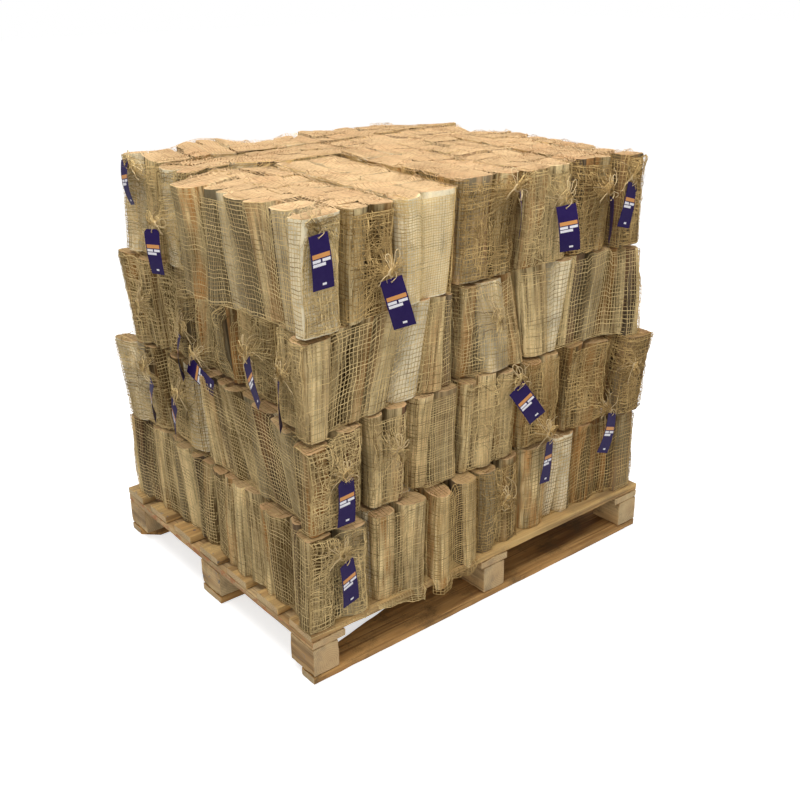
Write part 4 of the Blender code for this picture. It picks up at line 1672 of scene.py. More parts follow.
def stations(length: float, cell: float) -> np.ndarray:
    """Evenly spaced places about a cell apart, from one end to the other."""
    return np.linspace(0.0, length, max(3, round(length / cell) + 1))


def net_stations(length: float, cell: float) -> np.ndarray:
    """Places about a cell apart, closer at both ends, where a net turns round an edge."""
    return np.concatenate([(0.0, 0.005), 0.012 + stations(length - 0.024, cell), (length - 0.005, length)])


class JuteNet:
    """One bag's net: a taut lattice on the sides and the top, gathered and tied at the mouth."""

    def __init__(self, bag: BagLayout, pile: LogPile, knot: tuple[float, float],
                 tag: Optional["HangingTag"]) -> None:
        """Weave every stretch of net that can be seen.

        Args:
            bag: The bag.
            pile: Its logs, to lay the net on.
            knot: Where the mouth is tied, across the bag and above its floor.
            tag: The tag that hangs below the knot, which the net keeps clear of.
        """
        self.bag, self.pile, self.knot_place, self.tag = bag, pile, knot, tag
        self.tree = pile.tree()
        self.rng = np.random.default_rng(bag.seed(5000, 37, 900))
        self.draft = MeshDraft()
        self.top = bag.plan.log_length
        self.tone = 0.97 if bag.look.tone > PALE_TONE else 0.64 + 0.25 * (bag.look.tone - 0.5)
        for high in (False, True):
            if bag.side_shows(high) or bag.topmost:
                self.weave(self.side(high), 0.15)
            if not bag.side_shows(high):
                # The net in the gap between two bags is darkened as painted shade.
                self.weave(self.flank(high), 0.15, -0.10)
        if bag.topmost:
            cover = self.cover()
            # Finish 1 is the browner top net, whose colour is partly painted shade.
            cover.weave(self.draft, self.rng, 1.35 * THREAD_HALF_WIDTH, 0.62, 1)
            self.add_fuzz(cover, 0.10, 1)
        else:
            # The net on the ledges below the top layer is darkened as painted shade.
            self.weave(self.cover(), 0.12, -0.25)
        if bag.look.mouth is MouthStyle.CLOSED:
            self.weave(self.skirt(self.closed_end()), 0.12)
            return
        self.lay_mouth()
        self.weave(self.skirt(self.mouth_layer(bag.look.cell, 0.0032, 0.62, 0.0)), 0.5)
        if bag.look.scrunch > 0.4:
            self.weave(self.mouth_layer(0.0118, 0.0060, 0.70, 0.0028, 0.25 + 0.6 * bag.look.scrunch), 0.5)
        self.add_wisps(round(WISPS * bag.look.scrunch))
        self.weave(self.ruffle(), 0.3)

    def weave(self, grid: ThreadGrid, fuzz: float, painted_shade: float = 0.0) -> None:
        """Add a stretch's threads, darkened by the given amount of painted shade, and fibre ends on a share
        of its crossings.
        """
        grid.weave(self.draft, self.rng, THREAD_HALF_WIDTH, self.tone + painted_shade)
        self.add_fuzz(grid, fuzz)

    def reach(self, points: np.ndarray, way: np.ndarray) -> np.ndarray:
        """How far the logs stand out along a way, or minus CORNER_DROP where there is none."""
        found = np.full(points[..., 0].size, -CORNER_DROP)
        starts = (points + way * RAY_START).reshape(-1, 3)
        for index, start in enumerate(starts):
            hit = self.tree.ray_cast(Vector(start), Vector(-way), RAY_START + CORNER_DROP)
            if hit[0] is not None:
                found[index] = RAY_START - hit[3]
        return found.reshape(points.shape[:-1])

    def warp(self, shape: tuple[int, int], size: float) -> np.ndarray:
        """How far each crossing strays from its even place: slow waves and a little unevenness."""
        slow = smooth_noise(self.rng, shape, (max(2, shape[0] // 6), max(2, shape[1] // 6)))
        quick = smooth_noise(self.rng, shape, (max(2, shape[0] // 2), max(2, shape[1] // 2)))
        return (slow + 0.45 * quick) * size + self.rng.normal(0.0, size * 0.16, shape)

    def lattice(self, rows: np.ndarray, columns: np.ndarray, stray: float, span: np.ndarray) -> tuple:
        """Row and column places of every crossing, strayed from even.

        Args:
            rows: The rows' places.
            columns: The columns' places as shares of the span.
            stray: How far a crossing strays.
            span: The panel's lowest and highest column place for each row.

        Returns:
            Each crossing's row place and column place.
        """
        shape = (len(rows), len(columns))
        low, high = span[:, :1], span[:, 1:]
        row = np.clip(rows[:, None] + self.warp(shape, stray), rows[0], rows[-1])
        column = np.clip(between(low, high, columns[None]) + self.warp(shape, stray), low, high)
        row[[0, -1]] = rows[[0, -1], None]
        return row, column

    def edge(self, axis: int, high: bool) -> float:
        """Where the low or high edge lies that runs along the bag (axis 0) or across it (1)."""
        return self.bag.size[1 - axis] if high else 0.0

    def span(self, rows: np.ndarray, axis: int, high: bool) -> np.ndarray:
        """How far the logs reach along an edge, changing slowly from row to row."""
        span = self.pile.span(axis, rows, self.edge(axis, high))
        for _ in range(3):
            padded = np.pad(span, ((1, 1), (0, 0)), mode="edge")
            span = (padded[:-2] + 2 * span + padded[2:]) / 4
        return span

    def rim(self, columns: np.ndarray, axis: int, high: bool) -> np.ndarray:
        """How high the logs stand just inside an edge, at some places along it.

        Args:
            columns: The places, as shares of the edge's length.
            axis: 0 for an edge along the bag and 1 for one across it.
            high: Whether it is the one on the high side.

        Returns:
            The heights as shares of the net's.
        """
        inside = self.edge(axis, high) + 0.008 * (-1.0 if high else 1.0)
        spots = [columns * self.bag.size[axis], np.full(len(columns), inside)]
        points = self.bag.place(*(spots[::-1] if axis else spots), self.top)
        height = self.top + np.maximum(self.reach(points, UP), -RIM_DROP)
        padded = np.pad(height, 2, mode="edge")
        return np.max([padded[k:k + len(height)] - 0.002 * abs(k - 2) for k in range(5)], axis=0) / self.top

    @staticmethod
    def sink(spots: np.ndarray, span: np.ndarray) -> np.ndarray:
        """How far in the net may lie: deeper near its edges, where it turns round the logs."""
        near = np.minimum(spots - span[:, :1], span[:, 1:] - spots)
        return between(-GAP_DEPTH, -CORNER_DROP, np.clip(1.0 - near / CORNER_WIDTH, 0.0, 1.0))

    def settle(self, points: np.ndarray, way: np.ndarray, slack: float, floor: Values) -> ThreadGrid:
        """Move crossings out to where the taut net lies on the logs.

        Args:
            points: The crossings.
            way: The way out.
            slack: The share of a gap's depth that the net sinks into it.
            floor: The farthest in that it may lie.

        Returns:
            The stretch of net.
        """
        lift = drape(np.maximum(self.reach(points, way), floor), slack) + NET_LIFT
        return ThreadGrid(points + way * lift[..., None], np.broadcast_to(way, points.shape),
                          np.ones(lift.shape, bool))

    def panel(self, rows: np.ndarray, cell: float, axis: int, high: bool, stray: float,
              slack: float) -> ThreadGrid:
        """A flat stretch of net over one side of the bag.

        Args:
            rows: The rows' heights.
            cell: The distance between its columns.
            axis: 0 for a side along the bag and 1 for one across it.
            high: Whether it is the one on the high side.
            stray: How far a crossing strays.
            slack: The share of a gap's depth that it sinks into it.

        Returns:
            The stretch.
        """
        bag, size = self.bag, self.bag.size[axis]
        columns = net_stations(size, cell) / size
        span = self.span(rows, axis, high)
        height, places = self.lattice(rows, columns, stray, span)
        height = height * self.rim(columns, axis, high)
        spot = (places, self.edge(axis, high))
        points = bag.place(*(spot[::-1] if axis else spot), height)
        way = (bag.along_way if axis else bag.across_way) * (1.0 if high else -1.0)
        return self.settle(points, way, slack, self.sink(places, span))

    def side(self, high: bool) -> ThreadGrid:
        """The net on a long side: all of it where it shows, else its upper part alone."""
        cell = self.bag.look.cell * (1.2 if high else 1.0)
        rows = net_stations(self.top, cell * 1.12)
        if not self.bag.side_shows(high):
            rows = rows[rows > self.top - UPPER_PART]
        return self.panel(rows, cell * 0.95, 0, high, 0.0030, 0.20)

    def closed_end(self) -> ThreadGrid:
        """A plain boxy end with an even lattice."""
        cell = self.bag.look.cell
        return self.panel(net_stations(self.top, cell * 0.74), cell * 0.90, 1,
                          not self.bag.block.mouth_at_start, 0.0016, 0.15)

    def flank(self, high: bool) -> ThreadGrid:
        """The net on a long side between two bags, as far in from the mouth end as a gap shows it.

        Args:
            high: Whether it is the side with the higher place across.

        Returns:
            The stretch of net.
        """
        bag, cell = self.bag, self.bag.look.cell * 1.1
        rows = net_stations(self.top - 0.004, cell)
        columns = net_stations(FLANK_DEPTH, cell) / FLANK_DEPTH
        ends = self.span(rows, 0, high)
        start = ends[:, 0] if bag.block.mouth_at_start else ends[:, 1] - FLANK_DEPTH
        height, along = self.lattice(rows, columns, 0.0025, np.stack([start, start + FLANK_DEPTH], -1))
        points = bag.place(along, self.edge(0, high), height)
        return self.settle(points, bag.across_way * (1.0 if high else -1.0), 0.25, -RIM_DROP)

    def cover(self) -> ThreadGrid:
        """The net over the log tops, where it shows: all of it on top, else only the ledges."""
        bag = self.bag
        cell = TOP_CELL if bag.topmost else bag.look.cell
        rows, columns = net_stations(bag.width, cell), net_stations(bag.length, cell) / bag.length
        reach = self.pile.span(1, np.array((self.top,)))[0]
        rows = between(reach[0], reach[1], rows / bag.width)
        span = np.repeat(self.pile.span(0, np.array((self.top,))), len(rows), axis=0)
        across, along = self.lattice(rows, columns, 0.0032, span)
        points = bag.place(along, across, self.top)
        inside = bag.depth_inside(points)
        beneath = self.reach(points, UP)
        kept = (inside > 0.03) | (beneath > -RIM_DROP)
        if not bag.topmost:
            kept &= inside < LEDGE_WIDTH
        ridges = np.abs(smooth_noise(self.rng, across.shape, (3, 5)))
        raised = np.clip(1.0 - ridges / 0.18, 0.0, 1.0) * (0.008 if bag.topmost else 0.002)
        floor = np.where(inside > 0.03, -0.006, -0.014)
        lift = drape(np.maximum(beneath, floor), 0.12) + raised + NET_LIFT
        return ThreadGrid(points + UP * lift[..., None], np.broadcast_to(UP, points.shape), kept)

    def skirt(self, grid: ThreadGrid) -> ThreadGrid:
        """Let a mouth end's net hang down past its foot, in front of the deck's edge.

        Args:
            grid: The net over the mouth end.

        Returns:
            The same with a hanging hem, where the bag has one.
        """
        hang = between(*self.bag.look.hang, np.linspace(0.0, 1.0, grid.points.shape[1]))
        count = round(hang.max() / HEM_CELL)
        if not count:
            return grid
        steps = np.arange(count, 0, -1)[:, None] / count
        fall = (hang + 0.004) * steps * (1.0 + 0.22 * smooth_noise(self.rng, (count, len(hang)), (2, 7)))
        bulge = 0.009 + 0.004 * smooth_noise(self.rng, fall.shape, (2, 9))
        hanging = grid.points[:1] + grid.outward[:1] * bulge[..., None]
        hanging[..., 2] -= fall
        hanging[..., 1] = np.clip(hanging[..., 1], -0.036, -0.004)
        outward = np.broadcast_to(grid.outward[:1], hanging.shape)
        return ThreadGrid(*(np.concatenate(pair) for pair in (
            (hanging, grid.points), (outward, grid.outward), (np.ones(fall.shape, bool), grid.kept))))

    def lay_mouth(self) -> None:
        """Find how far out the gathered net lies over the mouth end, with its folds and pleats."""
        bag, rng = self.bag, self.rng
        self.rows, self.columns = net_stations(self.top, MOUTH_CELL), net_stations(bag.width, MOUTH_CELL)
        self.mouth_span = self.span(self.rows, 1, not bag.block.mouth_at_start)
        across, height = np.broadcast_arrays(self.columns[None], self.rows[:, None])
        points = bag.place(bag.mouth_along, across, height)
        folds = smooth_noise(rng, across.shape, (4, max(4, round(bag.width / 0.022)))) + 0.10
        off_knot = across - self.knot_place[0], height - self.knot_place[1]
        away, angle = np.hypot(*off_knot), np.arctan2(off_knot[1], off_knot[0])
        wander = 1.6 * smooth_noise(rng, across.shape, (5, 5))
        pleats = np.abs(np.sin(angle * rng.integers(4, 7) + wander + rng.uniform(0.0, 3.0)))
        pleats = (1.0 - pleats) ** 1.5 * np.clip(away / 0.015, 0.0, 1.0) * np.exp(-(away / 0.095) ** 2)
        near = np.minimum(across - self.mouth_span[:, :1], self.mouth_span[:, 1:] - across)
        edge = np.clip(np.minimum(near, np.minimum(height, self.top - height)) / 0.022, 0.0, 1.0)
        reach = np.maximum(self.reach(points, bag.mouth_way), self.sink(across, self.mouth_span))
        if self.tag:
            off = points - self.tag.middle
            aside = np.maximum(np.abs(off @ self.tag.across) / TAG_WIDTH,
                               np.abs(off @ self.tag.down) / TAG_LENGTH)
            edge = edge * np.clip((aside - 0.45) / 0.35, 0.0, 1.0)
        puff = (np.clip(folds, 0.0, 1.0) + pleats) * edge * bag.look.puff * 1.6
        self.relief = drape(reach, 0.30) + puff

    def on_mouth(self, across: np.ndarray, height: np.ndarray, lift: Values) -> np.ndarray:
        """Points on the gathered net over the mouth end.

        Args:
            across: How far across the bag.
            height: How far above its floor.
            lift: How far off the net.

        Returns:
            The points.
        """
        bag = self.bag
        row = np.interp(height, self.rows, np.arange(len(self.rows)))
        column = np.interp(across, self.columns, np.arange(len(self.columns)))
        r, c = (np.minimum(v.astype(int), n - 2) for v, n in zip((row, column), self.relief.shape))
        low, high = (between(self.relief[k, c], self.relief[k, c + 1], column - c) for k in (r, r + 1))
        away = np.hypot(across - self.knot_place[0], height - self.knot_place[1])
        drawn = np.clip(1.0 - away / GATHER_REACH, 0.0, 1.0) ** 1.5
        out = between(between(low, high, row - r), KNOT_LIFT, drawn) + NET_LIFT + lift
        return bag.place(bag.mouth_along, across, height) + bag.mouth_way * out[..., None]

    def mouth_layer(self, cell: float, stray: float, pull: float, lift: float,
                    cover: float = 1.0) -> ThreadGrid:
        """One layer of gathered net over the mouth end, drawn in towards the knot.

        Args:
            cell: Its mesh.
            stray: How far its crossings stray.
            pull: How far they are drawn in, as a share of the way to the knot.
            lift: How far it lies off the logs.
            cover: The share of the mouth end that it covers.

        Returns:
            The layer.
        """
        bag, high = self.bag, not self.bag.block.mouth_at_start
        rows, columns = net_stations(self.top, cell * 1.05), net_stations(bag.width, cell) / bag.width
        height, across = self.lattice(rows, columns, stray, self.span(rows, 1, high))
        height = height * self.rim(columns, 1, high)
        to_knot = self.knot_place[0] - across, self.knot_place[1] - height
        draw = pull * np.exp(-(to_knot[0] ** 2 + to_knot[1] ** 2) / GATHER_REACH ** 2)
        across, height = across + to_knot[0] * draw, height + to_knot[1] * draw
        points = self.on_mouth(across, height, lift + self.rng.normal(0.0, 0.0008, across.shape))
        patches = smooth_noise(self.rng, across.shape, (5, 4)) * 0.5 + 0.5
        kept = patches <= cover if cover < 1.0 else patches < 2.0
        return ThreadGrid(points, np.broadcast_to(bag.mouth_way, points.shape), kept)

    def add_wisps(self, count: int) -> None:
        """Add winding strands of loose yarn that lie over the gathered mouth."""
        if not count:
            return
        rng, steps = self.rng, WISP_STEPS
        across = rng.uniform(0.012, self.bag.width - 0.012, (count, 1))
        height = rng.uniform(0.015, self.top - 0.010, (count, 1))
        to_knot = np.arctan2(self.knot_place[1] - height, self.knot_place[0] - across)
        heading = to_knot + rng.normal(0, 0.8, (count, 1))
        heading = heading + np.cumsum(rng.normal(0.0, 0.42, (count, steps)), 1)
        pace = rng.uniform(0.0035, 0.0075, (count, 1))
        height = np.clip(height + np.cumsum(np.sin(heading) * pace, 1), 0.001, self.top - 0.012)
        low, high = (np.interp(height, self.rows, self.mouth_span[:, side]) for side in (0, 1))
        across = np.clip(across + np.cumsum(np.cos(heading) * pace, 1), low + 0.006, high - 0.006)
        lift = rng.uniform(0.0004, 0.0045, (count, 1)) * np.sin(np.linspace(0.1, 3.0, steps))[None]
        points = self.on_mouth(across, height, lift)
        side = unit(np.cross(self.bag.mouth_way, np.gradient(points, axis=1)))
        side = side * rng.uniform(0.0004, 0.0008, (count, 1, 1))
        pairs = np.stack([points - side, points + side], 2).reshape(-1, 3)
        start = (np.arange(count * steps).reshape(count, steps) * 2)[:, :-1].reshape(-1)
        quads = np.stack([start, start + 1, start + 3, start + 2], -1)
        tones = np.repeat(self.tone + rng.normal(0.0, 0.28, count), steps * 2)
        self.draft.add(pairs, [quads], 0, tone=tones)

    def ruffle(self) -> ThreadGrid:
        """The neck inside the tie, and the loose end of the net beyond it."""
        bag, rng, out = self.bag, self.rng, self.bag.mouth_way
        self.knot = self.on_mouth(*(np.array([v]) for v in self.knot_place), 0.0)[0]
        angles = np.arange(NECK_SIDES) * (2 * math.pi / NECK_SIDES)
        ray = bag.across_way * np.cos(angles)[:, None] + UP * np.sin(angles)[:, None]
        droop, lean = rng.uniform(0.6, 1.3) * (-0.7 if self.tag else 1.0), rng.normal(0.0, 0.7)
        waves = smooth_noise(rng, (len(RUFFLE), len(angles)), (2, 8), True)
        rings, ways = [], []
        for step, (size, reach, sag) in enumerate(RUFFLE):
            loose = max(0, step - 2) / 3
            radius = NECK_RADIUS * size * (1.0 + 0.55 * loose * waves[step])
            middle = self.knot + out * reach + UP * (-sag * droop) + bag.across_way * (sag * lean)
            ring = middle + ray * radius[:, None] + out * (0.005 * loose * np.roll(waves[step], 3))[:, None]
            rings.append(ring + rng.normal(0.0, 0.0006, ring.shape))
            ways.append(unit(ray + 0.4 * out))
        points = np.array(rings)
        return ThreadGrid(points, np.array(ways), np.ones(points.shape[:2], bool), True)

    def add_fuzz(self, grid: ThreadGrid, share: float, finish: int = 0) -> None:
        """Add loose fibre ends that stick out of the threads, each one thin triangle.

        Args:
            grid: The stretch of net.
            share: The share of its crossings that has one.
            finish: The material's number.
        """
        places = np.argwhere(grid.kept)
        rows, columns = places[self.rng.uniform(size=len(places)) < share].T
        if not len(rows):
            return
        roots, out = grid.points[rows, columns], grid.outward[rows, columns]
        sway = self.rng.normal(size=roots.shape)
        ways = unit(out * self.rng.uniform(0.0, 0.7, (len(roots), 1)) + 0.8 * unit(sway))
        lengths = self.rng.uniform(0.004, 0.014, (len(roots), 1))
        side = unit(np.cross(ways, out + 0.3 * sway)) * 0.00025
        points = np.stack([roots - side, roots + side, roots + ways * lengths], 1).reshape(-1, 3)
        faces = np.arange(len(points)).reshape(-1, 3)
        self.draft.add(points, [faces], finish, tone=np.full(len(points), self.tone + 0.1))


class MouthTie:
    """The twine at a bag's mouth: turns round the neck, loops, loose tails and strands."""

    def __init__(self, bag: BagLayout, knot: np.ndarray, tagged: bool) -> None:
        """Tie the neck.

        Args:
            bag: The bag.
            knot: Where the neck leaves the net.
            tagged: Whether a tag hangs below it, which its loose ends keep clear of.
        """
        self.knot, self.tagged = knot, tagged
        self.out, self.side = bag.mouth_way, bag.across_way
        self.rng = np.random.default_rng(bag.seed(9000, 41, 700))
        self.draft = MeshDraft()
        self.add_turns()
        self.add_loops()
        self.add_tails()
        self.add_strands()

    def ray(self, angle: float) -> np.ndarray:
        """The way off the knot at an angle in the mouth end's plane."""
        return self.side * math.cos(angle) + UP * math.sin(angle)

    def add_turns(self) -> None:
        """Wind three turns of twine round the neck."""
        turn = np.linspace(0.0, 3 * 2 * math.pi, 3 * 10 + 1)
        radius = NECK_RADIUS * 0.98 + 0.0008 * np.sin(turn * 2.3)
        path = (self.knot + self.side * (radius * np.cos(turn))[:, None]
                + UP * (radius * np.sin(turn))[:, None]
                + self.out * (0.0005 + 0.0016 * turn / (2 * math.pi))[:, None])
        sweep(self.draft, path, TURN_RADIUS, 5, tone=0.62)
        self.tie_place = path[-1]

    def add_loops(self) -> None:
        """Raise one or two loops of yarn from the knot."""
        for _ in range(int(self.rng.integers(1, 3))):
            angle = self.rng.normal(math.pi / 2, 0.5 if self.tagged else 0.9)
            length = self.rng.uniform(0.030, 0.055) if self.tagged else self.rng.uniform(0.020, 0.042)
            spread = self.rng.uniform(0.15, 0.32)
            points = [self.knot]
            for share, turn in ((0.45, -1.0), (0.85, -0.9), (1.0, 0.0), (0.85, 0.9), (0.45, 1.0)):
                points.append(self.knot + self.ray(angle + turn * spread) * length * share
                              + self.out * (0.003 - 0.010 * share * share + self.rng.normal(0, 0.001)))
            path = smooth_path([*points, self.knot], 4)
            sweep(self.draft, path, YARN_RADIUS, 4, tone=self.rng.uniform(0.6, 0.9))

    def add_tails(self) -> None:
        """Hang the twine's two loose ends, each with a curl."""
        for hand in (-1.0, 1.0):
            length = self.rng.uniform(0.020, 0.035) if self.tagged else self.rng.uniform(0.030, 0.065)
            drift = 2.2 * hand if self.tagged else self.rng.normal(0.0, 0.5)
            start = self.knot + self.out * 0.003 + self.side * hand * NECK_RADIUS * 0.7
            points = [start]
            for step in range(1, 5):
                share = step / 4
                sway = math.sin(share * 4.0 + self.rng.uniform(-0.5, 0.5)) * 0.010 * hand
                points.append(start - UP * length * share + self.side * (sway + drift * length * share * 0.6)
                              + self.out * (0.004 * math.sin(share * 3.1) - 0.004 * share))
            sweep(self.draft, smooth_path(points, 3), TAIL_RADIUS, 4, tone=self.rng.uniform(0.5, 0.85))

    def add_strands(self) -> None:
        """Lay loose strands of yarn over the gathered end."""
        rng = self.rng
        for _ in range(6):
            angle, curl = rng.uniform(-0.2 if self.tagged else -math.pi, math.pi + 0.2), rng.normal(0.0, 1.0)
            length = rng.uniform(0.02, 0.06)
            points = []
            for step in range(5):
                share = step / 4
                lift = 0.005 * math.sin(share * math.pi) - KNOT_LIFT * 0.9 * share
                points.append(self.knot + self.ray(angle + curl * share) * (NECK_RADIUS + length * share)
                              + self.out * (0.002 + lift + rng.normal(0.0, 0.0015)))
            sweep(self.draft, smooth_path(points, 3), STRAND_RADIUS, 3, tone=rng.uniform(0.35, 0.85))


class HangingTag:
    """A printed card on a loop of twine."""

    ROWS = (0.0, 0.0055, 0.0100, 0.020, 0.030, 0.0400, 0.0495, 0.0520, 0.0585, 0.0605, 0.0670,
            0.078, 0.090, 0.1045, 0.1095, TAG_LENGTH)
    COLUMNS = (-0.0265, -0.0230, -0.0150, -0.0070, -0.00225, 0.00225, 0.0080, 0.0100, 0.0170,
               0.0235, 0.0265)
    WAYS = {"F": ((1, 0, 0), (0, -1, 0)), "L": ((0, -1, 0), (-1, 0, 0)),
            "B": ((-1, 0, 0), (0, 1, 0)), "R": ((0, 1, 0), (1, 0, 0))}
    MEASURED_AT = {"F": 0.005, "L": 0.010}
    # The print in each row of cells: its finish, 1 for the orange band or 2 for a pale bar, and its cells
    PRINT = {5: (1, range(1, 9)), 7: (2, (1, 2, 3, 5, 6, 7, 8)), 9: (2, range(1, 7)), 13: (2, (4, 5))}

    def __init__(self, pose: TagPose, bag: BagLayout) -> None:
        """Place the card off its bag's mouth end, on the camera's line through the measured place.

        Args:
            pose: Where and how it hangs.
            bag: The bag that it hangs on.
        """
        self.draft = MeshDraft()
        self.pose = pose
        right, out = (np.array(way, float) for way in self.WAYS[pose.face])
        roll, turn = math.radians(pose.roll), math.radians(pose.turn)
        across = right * math.cos(turn) + out * math.sin(turn)
        self.front = out * math.cos(turn) - right * math.sin(turn)
        self.across = across * math.cos(roll) + UP * math.sin(roll)
        self.down = across * math.sin(roll) - UP * math.cos(roll)
        depth_axis = 1 if pose.face in "FB" else 0
        level = min(max(pose.height - bag.floor, 0.0), bag.plan.log_length)
        wall = bag.place(bag.mouth_along, bag.width / 2, level)[depth_axis]
        swing = abs(math.sin(turn)) * (abs(math.cos(roll)) * TAG_WIDTH + abs(math.sin(roll)) * TAG_LENGTH) / 2
        wanted = wall + out[depth_axis] * (min(0.017 + 0.8 * swing, 0.029) + pose.clear)
        measured = self.MEASURED_AT.get(pose.face, wanted)
        self.middle = np.insert(np.array((pose.along, pose.height)), depth_axis, measured)
        camera = np.array(CAMERA_PLACE) + ORIGIN
        if pose.face in self.MEASURED_AT:
            share = (wanted - camera[depth_axis]) / (measured - camera[depth_axis])
            self.middle = camera + (self.middle - camera) * share
        self.hole = self.middle + self.down * (self.ROWS[1] + 0.002 - TAG_LENGTH / 2)
        cross, rise = self.hole[1 - bag.axis] - bag.low, self.hole[2] + 0.021 - bag.floor
        self.knot_place = (float(np.clip(cross, 0.022, bag.width - 0.022)),
                           float(np.clip(rise, 0.035, bag.plan.log_length - 0.030)))
        self.add_card()

    @classmethod
    def spare(cls, bag: BagLayout, rng: random.Random) -> "HangingTag":
        """A tag on a bag whose mouth the photograph doesn't show.

        Args:
            bag: The bag.
            rng: The random numbers that place it.

        Returns:
            The tag.
        """
        along = bag.low + bag.width * rng.uniform(0.35, 0.65)
        height = bag.floor + bag.plan.log_length * rng.uniform(0.30, 0.50)
        ways = rng.gauss(0.0, 14.0), rng.gauss(0.0, 22.0), rng.uniform(6.0, 26.0)
        return cls(TagPose("RB"[bag.axis], along, height, *ways), bag)

    def finish_of(self, row: int, column: int) -> int:
        """The print on one cell: 0 is plain card, 1 the orange band and 2 a pale bar."""
        finish, columns = self.PRINT.get(row, (0, ()))
        return finish if column in columns else 0

    def add_card(self) -> None:
        """Add the card, curled along its length, with a hole for the twine."""
        rows, columns = np.array(self.ROWS), np.array(self.COLUMNS)
        share = rows / TAG_LENGTH - 0.5
        curl = TAG_LENGTH * math.radians(self.pose.bend) * 0.5 * (share ** 2 - 0.25)
        narrow = np.ones(len(rows))
        if self.pose.clipped:
            narrow[:2] = 0.62, 0.90
        twist = np.outer(share, columns) * 0.18
        grid = (self.middle + self.down * (rows - TAG_LENGTH / 2)[:, None, None]
                + self.across * (columns[None] * narrow[:, None])[..., None]
                + self.front * (-curl[:, None] + twist)[..., None])
        front = (grid + self.front * TAG_THICKNESS / 2).reshape(-1, 3)
        back = (grid - self.front * TAG_THICKNESS / 2).reshape(-1, 3)
        wide, offset = len(columns), len(front)
        cells = {(r, c) for r in range(len(rows) - 1) for c in range(wide - 1)} - {(1, 4)}
        faces: dict[int, list] = {0: [], 1: [], 2: []}
        for row, column in sorted(cells):
            corner = row * wide + column
            ring = [corner, corner + 1, corner + wide + 1, corner + wide]
            faces[self.finish_of(row, column)].append(ring[::-1])
            faces[0].append([number + offset for number in ring])
            sides = ((row - 1, column), (row, column + 1), (row + 1, column), (row, column - 1))
            for side, other in enumerate(sides):
                if other not in cells:
                    a, b = ring[side], ring[(side + 1) % 4]
                    faces[0].append([a, b, b + offset, a + offset])
        self.draft.add(np.concatenate([front, back]), [np.array(faces[0])])
        for finish in (1, 2):
            self.draft.faces.append((np.array(faces[finish]), np.full(len(faces[finish]), finish)))

    def loop_to(self, tie: np.ndarray, draft: MeshDraft) -> float:
        """Add the twine loop from the tie through the hole.

        Args:
            tie: Where the loop starts and ends.
            draft: The mesh that it goes into.

        Returns:
            The loop's length.
        """
        total = 0.0
        for hand in (-1.0, 1.0):
            near = self.hole + self.front * 0.0022 * hand
            middle = (tie + near) / 2 + self.across * 0.006 * hand + self.front * 0.004
            path = smooth_path([tie, middle, near, self.hole], 5)
            sweep(draft, path, TAG_LOOP_RADIUS, 4, tone=0.8)
            total += float(np.linalg.norm(np.diff(path, axis=0), axis=1).sum())
        return total


class NettedBag:
    """One bag: its logs, its net, its tie and its tag."""

    def __init__(self, bag: BagLayout, wardrobe: Wardrobe) -> None:
        """Make the bag's pieces and fix them to the frame."""
        self.bag = bag
        self.counts: dict[str, int] = {}
        self.loop_length = 0.0
        tag = self.tag()
        share = bag.look.knot
        knot = tag.knot_place if tag else (bag.width * share[0], bag.plan.log_length * share[1])
        pile = LogPile(bag)
        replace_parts(self.fix(pile.draft, "split_logs", wardrobe.log_set), bag.node)
        net = JuteNet(bag, pile, knot, tag)
        thread = wardrobe.golden_net if bag.look.warmth > 0.55 else wardrobe.net
        threads = [thread, wardrobe.top_net] if bag.topmost else [thread]
        self.fix(net.draft, "jute_net", threads, False)
        if bag.look.mouth is MouthStyle.CLOSED:
            return
        tie = MouthTie(bag, net.knot, tag is not None)
        if tag:
            self.loop_length = tag.loop_to(tie.tie_place, tie.draft)
            self.fix(tag.draft, "tag", wardrobe.tag_set, False)
        self.fix(tie.draft, "mouth_tie", [wardrobe.twine])

    def tag(self) -> Optional[HangingTag]:
        """The bag's tag, where the photograph shows one or where it shows nothing of the mouth."""
        bag = self.bag
        if bag.look.tag:
            return HangingTag(bag.look.tag, bag)
        rng = random.Random(4000 + 100 * bag.layer_index + round(100 * (bag.start + bag.low)))
        unseen = not bag.block.mouth_at_start
        return HangingTag.spare(bag, rng) if unseen and rng.random() < 0.6 else None

    def fix(self, draft: MeshDraft, kind: str, materials: Sequence,
            smooth: bool = True) -> bpy.types.Object:
        """Make a piece that rides with the load.

        Args:
            draft: Its mesh.
            kind: What it is.
            materials: Its materials.
            smooth: Whether it is shaded smooth.

        Returns:
            The piece.
        """
        piece = draft.make(f"{kind}_{self.bag.title}", materials, smooth)
        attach(piece, "root")
        self.counts[kind] = sum(len(faces) * (faces.shape[1] - 2) for faces, _ in draft.faces)
        return piece


